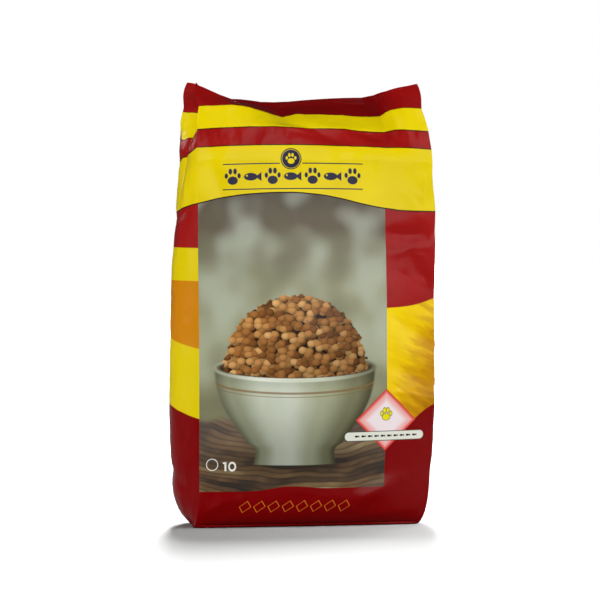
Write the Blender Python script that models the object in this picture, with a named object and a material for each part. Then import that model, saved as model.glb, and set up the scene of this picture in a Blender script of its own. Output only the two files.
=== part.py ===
"""A sealed ten-kilogram pet food bag, standing on its base.

The bag is one tube of printed film with a fold down each side, closed by a flat heat seal across
the top and another under the base. It is modelled the way the film lies: every row of points is one
line of print across the film, and every column is one line down it. The top rows are folded back
from the seal to the shoulder, the lower rows hang round the filling.

Metres, +Z up, the front faces -Y, and the origin is in the middle of the base.
"""

import math

import bmesh
import bpy
import numpy as np

# The flat bag, as it leaves the bag maker
PANEL_WIDTH = 0.351
GUSSET_FOLD = 0.064
SEAL_HEIGHT = 0.015
SEAL_THICKNESS = 0.0014
RIB_PITCH = 0.003
RIB_DEPTH = 0.0004
BACK_SEAM_WIDTH = 0.014
BACK_SEAM_THICKNESS = 0.0009

# The bands of film between the folds above the body, from the cut edge down
FIN_BAND = 0.041
SHOULDER_BAND = 0.0345
LOWER_BAND = 0.027
ROUND_OVER = 0.020
FOLD_SOFTNESS = 0.007
LEAN_KEPT_AT_BODY = 0.4

# Where the gusset comes away from the ears, past the fin's fold, and where it lies flush
GUSSET_OPEN_PAST_FIN = 0.006
GUSSET_FLUSH_IN_ROUND = 0.012

# The filled body
BODY_HEIGHT = 0.528
GUSSET_SLACK = 0.004
FRONT_BELLY = 0.022
BACK_BELLY = 0.018
BACK_BELLY_AT_SHOULDER = 0.0045
SHOULDER_HOLLOW = 0.004
BELLY_REACH = 0.278
MIDDLE_RISE = 0.005
RISE_REACH = 0.198
RIGHT_DROP = 0.0035
LEFT_FOLD_BULGE = 0.020
FOLD_BULGE_REACH = 0.105
SHIFT_LEFT = 0.003
LEFT_TIP_LEAD = 0.0042
LEFT_TIP_FROM = 0.75
LEFT_TIP_FADES_OVER = 0.090
FILM_WIDTH_KEPT = 0.5

# How far each gusset stands out past the corners: share of the body's height, metres
LEFT_BULGES = (
    (0.0, 0.0),
    (0.011, 0.0045),
    (0.023, 0.0080),
    (0.034, 0.0143),
    (0.055, 0.0215),
    (0.10, 0.0262),
    (0.20, 0.0288),
    (0.36, 0.0312),
    (0.55, 0.0287),
    (0.67, 0.0258),
    (0.80, 0.0212),
    (0.89, 0.0148),
    (0.93, 0.0095),
    (0.965, 0.0055),
    (1.0, 0.0020),
)
RIGHT_BULGES = (
    (0.0, 0.0),
    (0.10, 0.0080),
    (0.20, 0.0110),
    (0.36, 0.0130),
    (0.57, 0.0150),
    (0.67, 0.0120),
    (0.80, 0.0080),
    (0.89, 0.0020),
    (1.0, 0.0005),
)
BULGE_SOFTNESS = 0.014

# How the right side of the front is drawn in round the shoulder and towards the floor
RIGHT_TUCK = 0.0045
RIGHT_TUCK_FROM = 0.5
RIGHT_TUCK_BELOW = 0.073
RIGHT_TUCK_GROWS_OVER = 0.060
RIGHT_TUCK_ENDS_OVER = 0.080
RIGHT_TAPER = 0.0125
RIGHT_TAPER_HEIGHT = 0.190
RIGHT_TAPER_CURVE = 1.5

# The base
HEEL_HEIGHT = 0.050
FOOT_DEPTH_TUCK = 0.014
FOOT_LEFT_SPREAD = 0.005
FOOT_RIGHT_TUCK = 0.014
FOOT_BACK_TUCK = 0.017
LIP_HEIGHT = 0.0045
LIP_REACH = 0.0012
GROOVE_DEPTH = 0.002
GROOVE_WIDTH = 0.0014
LIP_FREE_OF_CORNER = 0.016
FOLDS_END_ABOVE_FLOOR = 0.018

# The back of the top: how far each rear corner leans from upright, in degrees, low down and at its tip
LEFT_BACK_LEANS = (11.0, 34.0)
RIGHT_BACK_LEANS = (15.0, 47.0)
BACK_KNEE_DROP = 0.10
BACK_KNEE_IN = 0.86
REAR_SPREAD = 0.002
LEFT_REAR_LEAD = 0.0070
REAR_EAR_DROP = 2.6

# Columns and rows of film
EAR_COLUMNS = 5
MIDDLE_COLUMNS = 18
BODY_ROWS = 27
SHOULDER_ROWS = 15
HEEL_ROWS = 4
LIP_ROWS = (4.2, 3.0, 2.2, 1.6, 1.2, 1.0, 0.75, 0.0)

FILM_COLOUR = (0.56, 0.03, 0.02, 1.0)
FILM_ROUGHNESS = 0.28

# How the front film leans back above the shoulder, in degrees from upright: share of the half
# width, then the seal and its fin, the shoulder band, and the lower band
FRONT_LEANS = (
    (-1.00, 34, 20, 16),
    (-0.92, 52, 20, 14),
    (-0.83, 63, 20, 13),
    (-0.74, 72, 20, 12),
    (-0.64, 77, 30, 10),
    (-0.37, 66, 60, 10),
    (-0.25, 57, 70, 15),
    (-0.13, 64, 60, 16),
    (0.22, 54, 57, 25),
    (0.50, 47, 53, 34),
    (0.60, 42, 50, 33),
    (0.72, 48, 38, 16),
    (0.84, 45, 22, 14),
    (0.92, 39, 20, 14),
    (1.00, 30, 18, 15),
)

# The folds pressed into the filled film. Each runs from one point to another, given as share of the
# half width and share of the body's height, and is so many times as deep and as wide as the common
# fold. A negative depth stands out as a ridge.
FOLD_DEPTH = 0.0028
FOLD_WIDTH = 0.011
FOLD_TIP = 0.08
FILM_FOLDS = (
    ("front", (0.58, 0.790), (0.98, 0.803), 1.0, 1.0),
    ("front", (0.62, 0.748), (0.96, 0.767), -0.6, 0.9),
    ("front", (0.74, 0.758), (0.98, 0.634), 0.8, 0.9),
    ("front", (0.66, 0.568), (0.98, 0.496), 0.8, 1.0),
    ("front", (0.62, 0.439), (0.97, 0.388), 0.9, 1.1),
    ("front", (0.64, 0.371), (0.97, 0.345), -0.7, 0.9),
    ("front", (-0.25, 1.117), (0.28, 1.045), 1.1, 0.9),
    ("front", (0.34, 1.083), (0.66, 1.061), 0.9, 0.8),
    ("front", (-0.96, 1.061), (-0.80, 0.890), 0.7, 1.1),
    ("front", (-0.96, 0.057), (-0.62, 0.087), -0.8, 1.1),
    ("front", (0.30, 0.066), (0.72, 0.129), -1.0, 1.2),
    ("front", (-0.28, 0.080), (0.14, 0.095), 0.6, 1.1),
    ("back", (-0.70, 0.947), (-0.20, 0.833), 1.2, 1.4),
    ("back", (0.75, 0.909), (0.25, 0.862), 1.1, 1.3),
    ("back", (-0.96, 0.625), (-0.62, 0.568), 1.1, 1.2),
    ("back", (0.96, 0.473), (0.60, 0.426), 1.1, 1.2),
    ("left", (-0.80, 0.890), (0.70, 0.814), 1.1, 1.2),
    ("left", (-0.70, 0.114), (0.75, 0.170), 1.1, 1.2),
    ("right", (-0.80, 0.852), (0.80, 0.890), 1.1, 1.2),
    ("right", (-0.70, 0.303), (0.75, 0.246), 0.9, 1.2),
)

# What follows from the sizes above
HALF_WIDTH = PANEL_WIDTH / 2
FILM_ABOVE_BODY = FIN_BAND + SHOULDER_BAND + LOWER_BAND + ROUND_OVER
SHOULDER_FOLD = FIN_BAND + SHOULDER_BAND
LOWER_FOLD = SHOULDER_FOLD + LOWER_BAND
GUSSET_OPEN = FIN_BAND + GUSSET_OPEN_PAST_FIN
GUSSET_FLUSH = LOWER_FOLD + GUSSET_FLUSH_IN_ROUND
CORNER_DEPTH = GUSSET_FOLD - GUSSET_SLACK
FOOT_DEPTH = CORNER_DEPTH - FOOT_DEPTH_TUCK
EAR_SHARE = 1.0 - GUSSET_FOLD / HALF_WIDTH
SEAM_SHARE = BACK_SEAM_WIDTH / PANEL_WIDTH

FINE_STEPS = 480
SMALL = 1e-9


def ease(value):
    """Goes smoothly from 0 to 1 as the value does, and stays there on either side."""
    value = np.clip(value, 0.0, 1.0)
    return value * value * (3.0 - 2.0 * value)


def blend(first, second, share):
    """A point that lies the given share of the way from the first to the second."""
    return first + (second - first) * share


def heel(height, over):
    """The quarter round of the base's edge: 0 on the floor, 1 at and above its height."""
    up = np.clip(height / over, 0.0, 1.0)
    return np.sqrt(1.0 - (1.0 - up) ** 2)


def points(x, y, z):
    """Stacks three coordinates, each one number or one for each column, as a row of points."""
    return np.stack(np.broadcast_arrays(x, y, z), axis=-1).astype(float)


def panel_shares():
    """The columns of a panel as shares of its half width, dense enough in the gusseted ears."""
    ear = np.linspace(EAR_SHARE, 1.0, EAR_COLUMNS + 1)
    seam_edge = SEAM_SHARE + BACK_SEAM_THICKNESS / HALF_WIDTH
    middle = np.linspace(seam_edge, EAR_SHARE, MIDDLE_COLUMNS // 2)
    right = np.concatenate([[SEAM_SHARE], middle, ear[1:]])
    return np.concatenate([-right[::-1], right])


def top_rows():
    """Distances down the film of the rows above the body, with two rows to each crimped rib."""
    ribs = np.linspace(0.0, SEAL_HEIGHT, 2 * round(SEAL_HEIGHT / RIB_PITCH) + 1)
    below = np.linspace(SEAL_HEIGHT, FILM_ABOVE_BODY, SHOULDER_ROWS + 1)[1:]
    return np.concatenate([ribs, below])


def body_rows():
    """Heights of the rows below the shoulder, closer together over the heel and round the lip."""
    low = LIP_HEIGHT * np.array(LIP_ROWS)
    heel_top = max(HEEL_HEIGHT, low[0] + LIP_HEIGHT)
    tall = np.linspace(BODY_HEIGHT, heel_top, BODY_ROWS)[1:-1]
    return np.concatenate([tall, np.linspace(heel_top, low[0], HEEL_ROWS + 1)[:-1], low])


def sealed_rows():
    """How many rows, from the cut edge down, lie in the heat seal."""
    return int(np.searchsorted(top_rows(), SEAL_HEIGHT + SMALL))


def lean_at(shares, down):
    """How far the front film leans back from upright, in radians, at each column and distance down."""
    stations = np.array(FRONT_LEANS, dtype=float)
    fin, shoulder, lower = (
        np.radians(np.interp(shares, stations[:, 0], stations[:, index])) for index in (1, 2, 3)
    )
    lean = blend(fin, shoulder, ease((down - FIN_BAND) / FOLD_SOFTNESS + 0.5))
    lean = blend(lean, lower, ease((down - SHOULDER_FOLD) / FOLD_SOFTNESS + 0.5))
    return blend(lean, LEAN_KEPT_AT_BODY * lean, ease((down - LOWER_FOLD) / ROUND_OVER))


def inward(lean):
    """The direction from the front film towards the back film where they are sealed together."""
    return points(0.0, np.cos(lean), -np.sin(lean))


def fallen(height):
    """How far down the body a height is: 0 at the shoulder, 1 where the belly is full."""
    return ease((BODY_HEIGHT - height) / BELLY_REACH)


def corner_depth(height):
    """Half the bag's depth at its corners."""
    return blend(FOOT_DEPTH, CORNER_DEPTH, heel(height, HEEL_HEIGHT))


def front_belly(height):
    """How far the middle of the front stands out past its corners."""
    full = FRONT_BELLY * fallen(height) * heel(height, HEEL_HEIGHT)
    return full - SHOULDER_HOLLOW * (1.0 - fallen(height))


def back_belly(height):
    """How far the middle of the back stands out past its corners."""
    belly = blend(BACK_BELLY_AT_SHOULDER, BACK_BELLY, fallen(height))
    return belly * heel(height, HEEL_HEIGHT)


def side_bulge(side, height):
    """How far a gusset stands out past the corners: side -1 is the left one, +1 the right one."""
    stations = np.array(LEFT_BULGES if side < 0 else RIGHT_BULGES)
    near = height + min(BULGE_SOFTNESS, height / 2) * np.linspace(-1.0, 1.0, 5)
    return np.interp(near / BODY_HEIGHT, stations[:, 0], stations[:, 1]).mean()


def right_tuck(shares, up):
    """How far the right shoulder is drawn in, at each column and a distance up from the body's top."""
    near_edge = ease((shares - RIGHT_TUCK_FROM) / (1.0 - RIGHT_TUCK_FROM))
    grown = ease((up + RIGHT_TUCK_BELOW) / RIGHT_TUCK_GROWS_OVER)
    ended = ease((FILM_ABOVE_BODY - up) / RIGHT_TUCK_ENDS_OVER)
    return RIGHT_TUCK * near_edge * grown * ended


def left_tip_lead(shares, down):
    """How far the left ear leans out to the left, at each column and a distance down from its edge."""
    near_edge = ease((-shares - LEFT_TIP_FROM) / (1.0 - LEFT_TIP_FROM))
    return LEFT_TIP_LEAD * near_edge * (1.0 - ease(down / LEFT_TIP_FADES_OVER))


def right_taper(shares, height):
    """How far each column is drawn in towards the left, most at the right foot."""
    near_foot = np.clip(1.0 - height / RIGHT_TAPER_HEIGHT, 0.0, 1.0)
    return RIGHT_TAPER * near_foot**RIGHT_TAPER_CURVE * (shares + 1.0) / 2


def line_height(height, shares):
    """The height of one line of print: near the top it rises in the middle and sinks to the right."""
    near_top = ease(1.0 - (BODY_HEIGHT - height) / RISE_REACH)
    return height + near_top * (MIDDLE_RISE * (1.0 - shares**2) - RIGHT_DROP * (shares + 1.0) / 2)


def pressed_in(panel, shares, height, half_width):
    """How deep the pressed folds push one row of a panel in, at each of its columns."""
    depth = np.zeros(len(shares))
    scale = np.array([half_width, BODY_HEIGHT])
    here = points(shares * half_width, height, 0.0)[:, :2]
    for name, start, end, deep, wide in FILM_FOLDS:
        if name != panel:
            continue
        first = np.array(start) * scale
        along = np.array(end) * scale - first
        share = np.clip((here - first) @ along / (along @ along), 0.0, 1.0)
        away = np.linalg.norm(here - first - share[:, None] * along, axis=1)
        tip = np.sqrt(np.sin(math.pi * np.clip(share, FOLD_TIP, 1.0 - FOLD_TIP)))
        depth += FOLD_DEPTH * deep * tip * np.exp(-((away / (FOLD_WIDTH * wide)) ** 2))
    return depth


def lip_offset(height):
    """The folded base seal: a thin lip at the floor with a groove above it."""
    lip = 1.0 - ease((height - LIP_HEIGHT / 2) / (LIP_HEIGHT / 2))
    groove = np.exp(-(((height - LIP_HEIGHT) / GROOVE_WIDTH) ** 2))
    return LIP_REACH * lip - GROOVE_DEPTH * groove


def across(y, z):
    """The x of each column, so that the film keeps its width where it bends out of its plane."""
    film = np.diff(panel_shares()) * HALF_WIDTH
    bent = np.hypot(np.diff(y), np.diff(z))
    steps = np.sqrt(np.maximum(film**2 - bent**2, (FILM_WIDTH_KEPT * film) ** 2))
    x = np.concatenate([[0.0], np.cumsum(steps)])
    return x - x[-1] / 2


def climb(lean, step):
    """How far back and how far up the film has come at each row above the last, for its leans."""
    middle = (lean[1:] + lean[:-1]) / 2
    back = np.cumsum(np.sin(middle)[::-1], axis=0)[::-1] * step
    up = np.cumsum(np.cos(middle)[::-1], axis=0)[::-1] * step
    last = np.zeros((1,) + lean.shape[1:])
    return np.concatenate([back, last]), np.concatenate([up, last])


def front_top():
    """The front film above the body, folded back row by row, and the lean of every point."""
    shares = panel_shares()
    fine = np.linspace(0.0, FILM_ABOVE_BODY, FINE_STEPS + 1)
    back, up = climb(lean_at(shares[None, :], fine[:, None]), fine[1])
    start_y = -(corner_depth(BODY_HEIGHT) + front_belly(BODY_HEIGHT) * (1.0 - shares**2))
    start_z = line_height(BODY_HEIGHT, shares)
    rows = []
    for down in top_rows():
        y = start_y + np.array([np.interp(down, fine, column) for column in back.T])
        z = start_z + np.array([np.interp(down, fine, column) for column in up.T])
        x = across(y, z) - SHIFT_LEFT * ease(1.0 - down / FILM_ABOVE_BODY)
        x -= right_tuck(shares, FILM_ABOVE_BODY - down) + left_tip_lead(shares, down)
        deep = pressed_in("front", shares, BODY_HEIGHT + FILM_ABOVE_BODY - down, HALF_WIDTH)
        rows.append(points(x, y, z) + deep[:, None] * inward(lean_at(shares, down)))
    leans = lean_at(shares[None, :], top_rows()[:, None])
    return np.array(rows), leans


def front_body():
    """The front film from the shoulder to the floor."""
    shares = panel_shares()
    foot = np.interp(shares, (-1.0, 1.0), (-HALF_WIDTH - FOOT_LEFT_SPREAD, HALF_WIDTH - FOOT_RIGHT_TUCK))
    clear_of_corner = ease((1.0 - np.abs(shares)) * HALF_WIDTH / LIP_FREE_OF_CORNER)
    rows = []
    for height in body_rows():
        y = -(corner_depth(height) + front_belly(height) * (1.0 - shares**2))
        y -= lip_offset(height) * clear_of_corner
        y += pressed_in("front", shares, height, HALF_WIDTH) * heel(height, FOLDS_END_ABOVE_FLOOR)
        z = line_height(height, shares)
        x = blend(foot, across(y, z), heel(height, HEEL_HEIGHT))
        x -= right_taper(shares, height) + right_tuck(shares, height - BODY_HEIGHT)
        rows.append(points(x, y, z))
    return np.array(rows)


def rear_corner(front_corner, side):
    """A back corner line of the bag, from the tip of its rear ear to the floor."""
    downs = top_rows()
    fine = np.linspace(0.0, FILM_ABOVE_BODY, FINE_STEPS + 1)
    low, high = np.radians(LEFT_BACK_LEANS if side < 0 else RIGHT_BACK_LEANS)
    lean = blend(high, low, ease(fine / FILM_ABOVE_BODY))
    back, up = climb(lean, fine[1])
    spread = side * REAR_SPREAD * np.sin(math.pi * downs / FILM_ABOVE_BODY)
    if side < 0:
        spread -= LEFT_REAR_LEAD * (1.0 - ease(downs / FILM_ABOVE_BODY))
    top = points(
        front_corner[: len(downs), 0] + spread,
        CORNER_DEPTH - np.interp(downs, fine, back),
        BODY_HEIGHT + np.interp(downs, fine, up),
    )
    heights = body_rows()
    foot = side * (HALF_WIDTH - FOOT_BACK_TUCK)
    if side > 0:
        foot -= RIGHT_TAPER
    x = blend(foot, front_corner[len(downs) :, 0], heel(heights, HEEL_HEIGHT))
    return np.concatenate([top, points(x, corner_depth(heights), heights)])


def back_top(front, leans, left, right):
    """The back film above the body: sealed to the front in the middle, apart from it in the ears."""
    shares = panel_shares()
    downs = top_rows()
    ear = np.clip((np.abs(shares) - EAR_SHARE) / (1.0 - EAR_SHARE), 0.0, 1.0) ** REAR_EAR_DROP
    seam = BACK_SEAM_THICKNESS * (np.abs(shares) <= SEAM_SHARE + SMALL)
    foot_y = CORNER_DEPTH + back_belly(BODY_HEIGHT) * (1.0 - shares**2) + seam
    foot_z = line_height(BODY_HEIGHT, shares)
    last = sealed_rows() - 1
    root = front[last] + SEAL_THICKNESS * inward(leans[last])
    knee_z = blend(root[:, 2], BODY_HEIGHT, BACK_KNEE_DROP)
    rows = []
    for row, down in enumerate(downs):
        outer = blend(left[row], right[row], (shares[:, None] + 1.0) / 2)
        if row <= last:
            middle = front[row] + SEAL_THICKNESS * inward(leans[row])
        else:
            share = (down - SEAL_HEIGHT) / (FILM_ABOVE_BODY - SEAL_HEIGHT)
            foot = points(outer[:, 0], foot_y, foot_z)
            knee = points(outer[:, 0], foot_y * BACK_KNEE_IN, knee_z)
            middle = blend(blend(root, knee, share), blend(knee, foot, share), share)
        rows.append(blend(middle, outer, ear[:, None]))
    return np.array(rows)


def back_body(left, right):
    """The back film from the shoulder to the floor, with its long seam down the middle."""
    shares = panel_shares()
    seam = BACK_SEAM_THICKNESS * (np.abs(shares) <= SEAM_SHARE + SMALL)
    rows = []
    for near, far, height in zip(left, right, body_rows()):
        x = np.interp(shares, (-1.0, 1.0), (near[0], far[0]))
        y = corner_depth(height) + back_belly(height) * (1.0 - shares**2)
        y += seam * heel(height, HEEL_HEIGHT) - pressed_in("back", shares, height, HALF_WIDTH)
        rows.append(points(x, y, line_height(height, shares)))
    return np.array(rows)


def sealed_gusset(near, far, lean):
    """One row of a gusset in an ear: its front half lies on the front film, its rear half behind."""
    shares = np.linspace(0.0, 1.0, EAR_COLUMNS + 1)[:, None]
    off_fold = np.clip(shares * EAR_COLUMNS, 0.0, 1.0) * SEAL_THICKNESS / 2
    normal = inward(lean)
    rear_normal = blend(np.array([0.0, 1.0, 0.0]), normal, shares)
    rear_normal /= np.linalg.norm(rear_normal, axis=1)[:, None]
    return near + normal * off_fold, far - rear_normal * off_fold


def open_gusset(near_corner, far_corner, valley, swell):
    """One row of a gusset that has come away from the ears and bows out between the corners."""
    shares = np.linspace(0.0, 1.0, EAR_COLUMNS + 1)[:, None]
    bow = shares * (1.0 - shares) * swell
    return blend(near_corner, valley, shares) + bow, blend(far_corner, valley, shares) + bow


def gusset_film(front, leans, back, side):
    """One side of the bag from its front corner to its back corner: side -1 is left, +1 right."""
    columns = np.arange(EAR_COLUMNS + 1)
    pick = columns if side < 0 else -1 - columns
    out = np.array([side, 0.0, 0.0])
    lobes = LEFT_FOLD_BULGE if side < 0 else 0.0
    sealed = sealed_rows()
    rows = []
    for row, down in enumerate(top_rows()):
        near = front[row][pick]
        far = back[row][pick]
        middle = (near[0] + far[0]) / 2
        half_front, half_rear = sealed_gusset(near, far, leans[row][pick])
        if row < sealed:
            half_rear[-1] = half_front[-1]
            offset = half_front[-1] - middle
        else:
            past = down - SEAL_HEIGHT
            tuck = 1.0 - ease(past / (GUSSET_FLUSH - SEAL_HEIGHT))
            bulge = side_bulge(side, BODY_HEIGHT) * ease(past / (FILM_ABOVE_BODY - SEAL_HEIGHT))
            lobe = lobes * ease(past / (SHOULDER_FOLD - SEAL_HEIGHT))
            valley = middle + offset * tuck + out * bulge
            bowed = open_gusset(near[0], far[0], valley, (bulge + lobe) * out)
            opened = ease(past / (GUSSET_OPEN - SEAL_HEIGHT))
            half_front = blend(half_front, bowed[0], opened)
            half_rear = blend(half_rear, bowed[1], opened)
            half_front[-1] = valley
        rows.append(np.concatenate([half_front[:-1], half_front[-1:], half_rear[-2::-1]]))
    shares = np.linspace(0.0, 1.0, EAR_COLUMNS + 1)
    clear_of_corner = np.sin(math.pi * np.clip(shares, 0.0, 0.5))[:, None]
    for row, height in enumerate(body_rows(), start=len(rows)):
        near_corner = front[row][pick[0]]
        far_corner = back[row][pick[0]]
        bulge = side_bulge(side, height)
        lobe = lobes * ease(1.0 - (BODY_HEIGHT - height) / FOLD_BULGE_REACH)
        valley = (near_corner + far_corner) / 2 + out * bulge
        halves = open_gusset(near_corner, far_corner, valley, (bulge + lobe) * out)
        name = "left" if side < 0 else "right"
        pressed = [
            half - pressed_in(name, turn, height, GUSSET_FOLD)[:, None] * clear_of_corner * out
            for half, turn in zip(halves, (shares - 1.0, 1.0 - shares))
        ]
        rows.append(np.concatenate([pressed[0], pressed[1][-2::-1]]))
    return np.array(rows)


def add_ribs(front, leans):
    """Presses the crimped ribs into the rows of the seal."""
    for row in range(sealed_rows() - 1):
        rib = RIB_DEPTH if row % 2 else -RIB_DEPTH
        front[row] += rib * inward(leans[row])


def film_rings():
    """Every row of the bag as one closed ring: front, right gusset, back, left gusset."""
    top, leans = front_top()
    add_ribs(top, leans)
    body = front_body()
    front = np.concatenate([top, body])
    left = rear_corner(front[:, 0], -1)
    right = rear_corner(front[:, -1], +1)
    count = len(top)
    back = np.concatenate([back_top(top, leans, left, right), back_body(left[count:], right[count:])])
    left_side = gusset_film(front, leans, back, -1)
    right_side = gusset_film(front, leans, back, +1)
    return np.concatenate([front, right_side[:, 1:-1], back[:, ::-1], left_side[:, -2:0:-1]], axis=1)


def ring_parts(ring):
    """Splits one ring of vertices into front, right gusset, back and left gusset, front to rear."""
    panel = len(panel_shares())
    side = 2 * EAR_COLUMNS - 1
    front = ring[:panel]
    right = ring[panel : panel + side]
    back = ring[panel + side : 2 * panel + side][::-1]
    left = ring[2 * panel + side :][::-1]
    return front, right, back, left


def base_faces(ring):
    """Closes the base: the front film meets the back film, and each gusset closes on itself."""
    front, right, back, left = ring_parts(ring)
    faces = [(front[i], front[i + 1], back[i + 1], back[i]) for i in range(len(front) - 1)]
    for near, far, gusset in ((front[0], back[0], left), (front[-1], back[-1], right)):
        chain = [near, *gusset, far]
        middle = len(chain) // 2
        faces += [(chain[i], chain[i + 1], chain[-2 - i], chain[-1 - i]) for i in range(middle - 1)]
        faces.append((chain[middle - 1], chain[middle], chain[middle + 1]))
    return faces


def cut_edge_faces(ring):
    """Closes the cut top edge: the middle is one sealed strip, each ear closes on its gusset."""
    front, right, back, left = ring_parts(ring)
    faces = [
        (front[i], front[i + 1], back[i + 1], back[i])
        for i in range(EAR_COLUMNS, len(front) - 1 - EAR_COLUMNS)
    ]
    for near, far, gusset in ((front, back, left), (front[::-1], back[::-1], right)):
        for panel, half in ((near, gusset), (far, gusset[::-1])):
            faces.append((panel[0], panel[1], half[0]))
            faces += [
                (panel[i], panel[i + 1], half[i], half[i - 1]) for i in range(1, EAR_COLUMNS)
            ]
        faces.append((near[EAR_COLUMNS], gusset[EAR_COLUMNS - 1], far[EAR_COLUMNS]))
    return faces


def film_material():
    """Glossy printed film."""
    material = bpy.data.materials.new("printed_film")
    material.use_nodes = True
    shader = material.node_tree.nodes["Principled BSDF"]
    shader.inputs["Base Color"].default_value = FILM_COLOUR
    shader.inputs["Roughness"].default_value = FILM_ROUGHNESS
    shader.inputs["Metallic"].default_value = 0.0
    return material


def build_bag():
    """Makes the bag's mesh from its rings, with the origin in the middle of its base."""
    rings = film_rings()
    low = rings.min(axis=(0, 1))
    high = rings.max(axis=(0, 1))
    rings[:, :, :2] -= (low[:2] + high[:2]) / 2
    shape = bmesh.new()
    grid = [[shape.verts.new(point) for point in ring] for ring in rings]
    for upper, lower in zip(grid, grid[1:]):
        for i in range(len(upper)):
            j = (i + 1) % len(upper)
            shape.faces.new((upper[i], lower[i], lower[j], upper[j]))
    for face in cut_edge_faces(grid[0]) + base_faces(grid[-1]):
        shape.faces.new(face)
    bmesh.ops.recalc_face_normals(shape, faces=shape.faces)
    bmesh.ops.triangulate(shape, faces=shape.faces)
    mesh = bpy.data.meshes.new("bag")
    shape.to_mesh(mesh)
    shape.free()
    mesh.shade_smooth()
    mesh.set_sharp_from_angle(angle=math.radians(50))
    mesh.materials.append(film_material())
    bag = bpy.data.objects.new("bag", mesh)
    bpy.context.scene.collection.objects.link(bag)
    return bag


def clear_scene():
    """Removes the objects that the scene starts with."""
    for thing in list(bpy.data.objects):
        bpy.data.objects.remove(thing)


clear_scene()
build_bag()
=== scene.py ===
"""The looks of a sealed ten-kilogram pet food bag of glossy printed film.

The film is made fine here, over the same fold lines as the solid: a flat sheet is divided, every
row of it one line of print across the film and every column one line down it, and it is folded
round the filling. Its UV map holds the flat film in metres, so the print bends with the film.
"""

import logging
import math
from dataclasses import dataclass
from enum import Enum
from typing import TypeAlias

import bmesh
import bpy
import numpy as np
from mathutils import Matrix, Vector, noise

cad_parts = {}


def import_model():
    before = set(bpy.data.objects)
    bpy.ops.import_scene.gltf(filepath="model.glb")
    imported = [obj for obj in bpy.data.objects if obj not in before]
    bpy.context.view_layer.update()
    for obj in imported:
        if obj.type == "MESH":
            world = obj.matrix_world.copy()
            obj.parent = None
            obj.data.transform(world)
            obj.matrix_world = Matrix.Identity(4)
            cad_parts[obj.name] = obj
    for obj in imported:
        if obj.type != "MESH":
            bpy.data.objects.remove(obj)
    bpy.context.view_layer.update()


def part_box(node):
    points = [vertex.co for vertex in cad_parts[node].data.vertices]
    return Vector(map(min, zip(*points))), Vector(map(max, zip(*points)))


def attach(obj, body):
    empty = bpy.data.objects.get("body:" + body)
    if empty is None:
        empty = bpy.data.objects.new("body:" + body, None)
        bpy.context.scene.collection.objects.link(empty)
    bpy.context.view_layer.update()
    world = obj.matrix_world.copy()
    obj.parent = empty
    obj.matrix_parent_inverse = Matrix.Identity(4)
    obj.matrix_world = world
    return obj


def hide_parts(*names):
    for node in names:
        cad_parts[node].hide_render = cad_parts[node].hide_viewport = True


LOG = logging.getLogger("pet_food_bag")
MILLIMETRES = 1000.0

Numbers: TypeAlias = np.ndarray | float
Pair: TypeAlias = tuple[float, float]
Triple: TypeAlias = tuple[float, float, float]
Stations: TypeAlias = tuple[Pair, ...]


class Panel(Enum):
    """The four panels of the film tube."""

    FRONT = "front"
    BACK = "back"
    LEFT = "left gusset"
    RIGHT = "right gusset"


def ease(value: Numbers) -> Numbers:
    """Goes smoothly from 0 to 1 as the value does, and stays there on either side."""
    value = np.clip(value, 0.0, 1.0)
    return value * value * (3.0 - 2.0 * value)


def blend(first: Numbers, second: Numbers, share: Numbers) -> np.ndarray:
    """A value that lies the given share of the way from the first to the second."""
    return first + (second - first) * share


def heel(height: Numbers, over: float) -> Numbers:
    """The quarter round of the base's edge: 0 on the floor, 1 at and above its height."""
    return np.sqrt(1.0 - (1.0 - np.clip(height / over, 0.0, 1.0)) ** 2)


def points(x: Numbers, y: Numbers, z: Numbers) -> np.ndarray:
    """Stacks three coordinates, each one number or one for each column, as a row of points."""
    return np.stack(np.broadcast_arrays(x, y, z), axis=-1).astype(float)


def inward(lean: np.ndarray) -> np.ndarray:
    """The direction from the front film towards the back film where they are sealed together."""
    return points(0.0, np.cos(lean), -np.sin(lean))


@dataclass(frozen=True)
class FilmCut:
    """The flat bag, as it leaves the bag maker, in metres."""

    panel_width: float = 0.351
    gusset_fold: float = 0.064
    seal_height: float = 0.015
    seal_thickness: float = 0.0014
    rib_pitch: float = 0.003
    rib_depth: float = 0.0004
    seam_width: float = 0.014
    seam_thickness: float = 0.0009
    fin_band: float = 0.041
    shoulder_band: float = 0.0345
    lower_band: float = 0.027
    round_over: float = 0.020

    @property
    def half(self) -> float:
        """Half the width of the front panel."""
        return self.panel_width / 2

    @property
    def shoulder_fold(self) -> float:
        """Distance from the cut edge to the fold under the shoulder band."""
        return self.fin_band + self.shoulder_band

    @property
    def lower_fold(self) -> float:
        """Distance from the cut edge to the end of the lower band."""
        return self.shoulder_fold + self.lower_band

    @property
    def above_body(self) -> float:
        """The film from the cut edge to where the body starts."""
        return self.lower_fold + self.round_over

    @property
    def round_the_tube(self) -> float:
        """The film's width all round the tube."""
        return 2.0 * self.panel_width + 4.0 * self.gusset_fold

    @property
    def ear_share(self) -> float:
        """Where the sealed ears start, as share of the half width."""
        return 1.0 - self.gusset_fold / self.half

    @property
    def seam_share(self) -> float:
        """Half the back seam's width, as share of the half width."""
        return self.seam_width / self.panel_width


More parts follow.
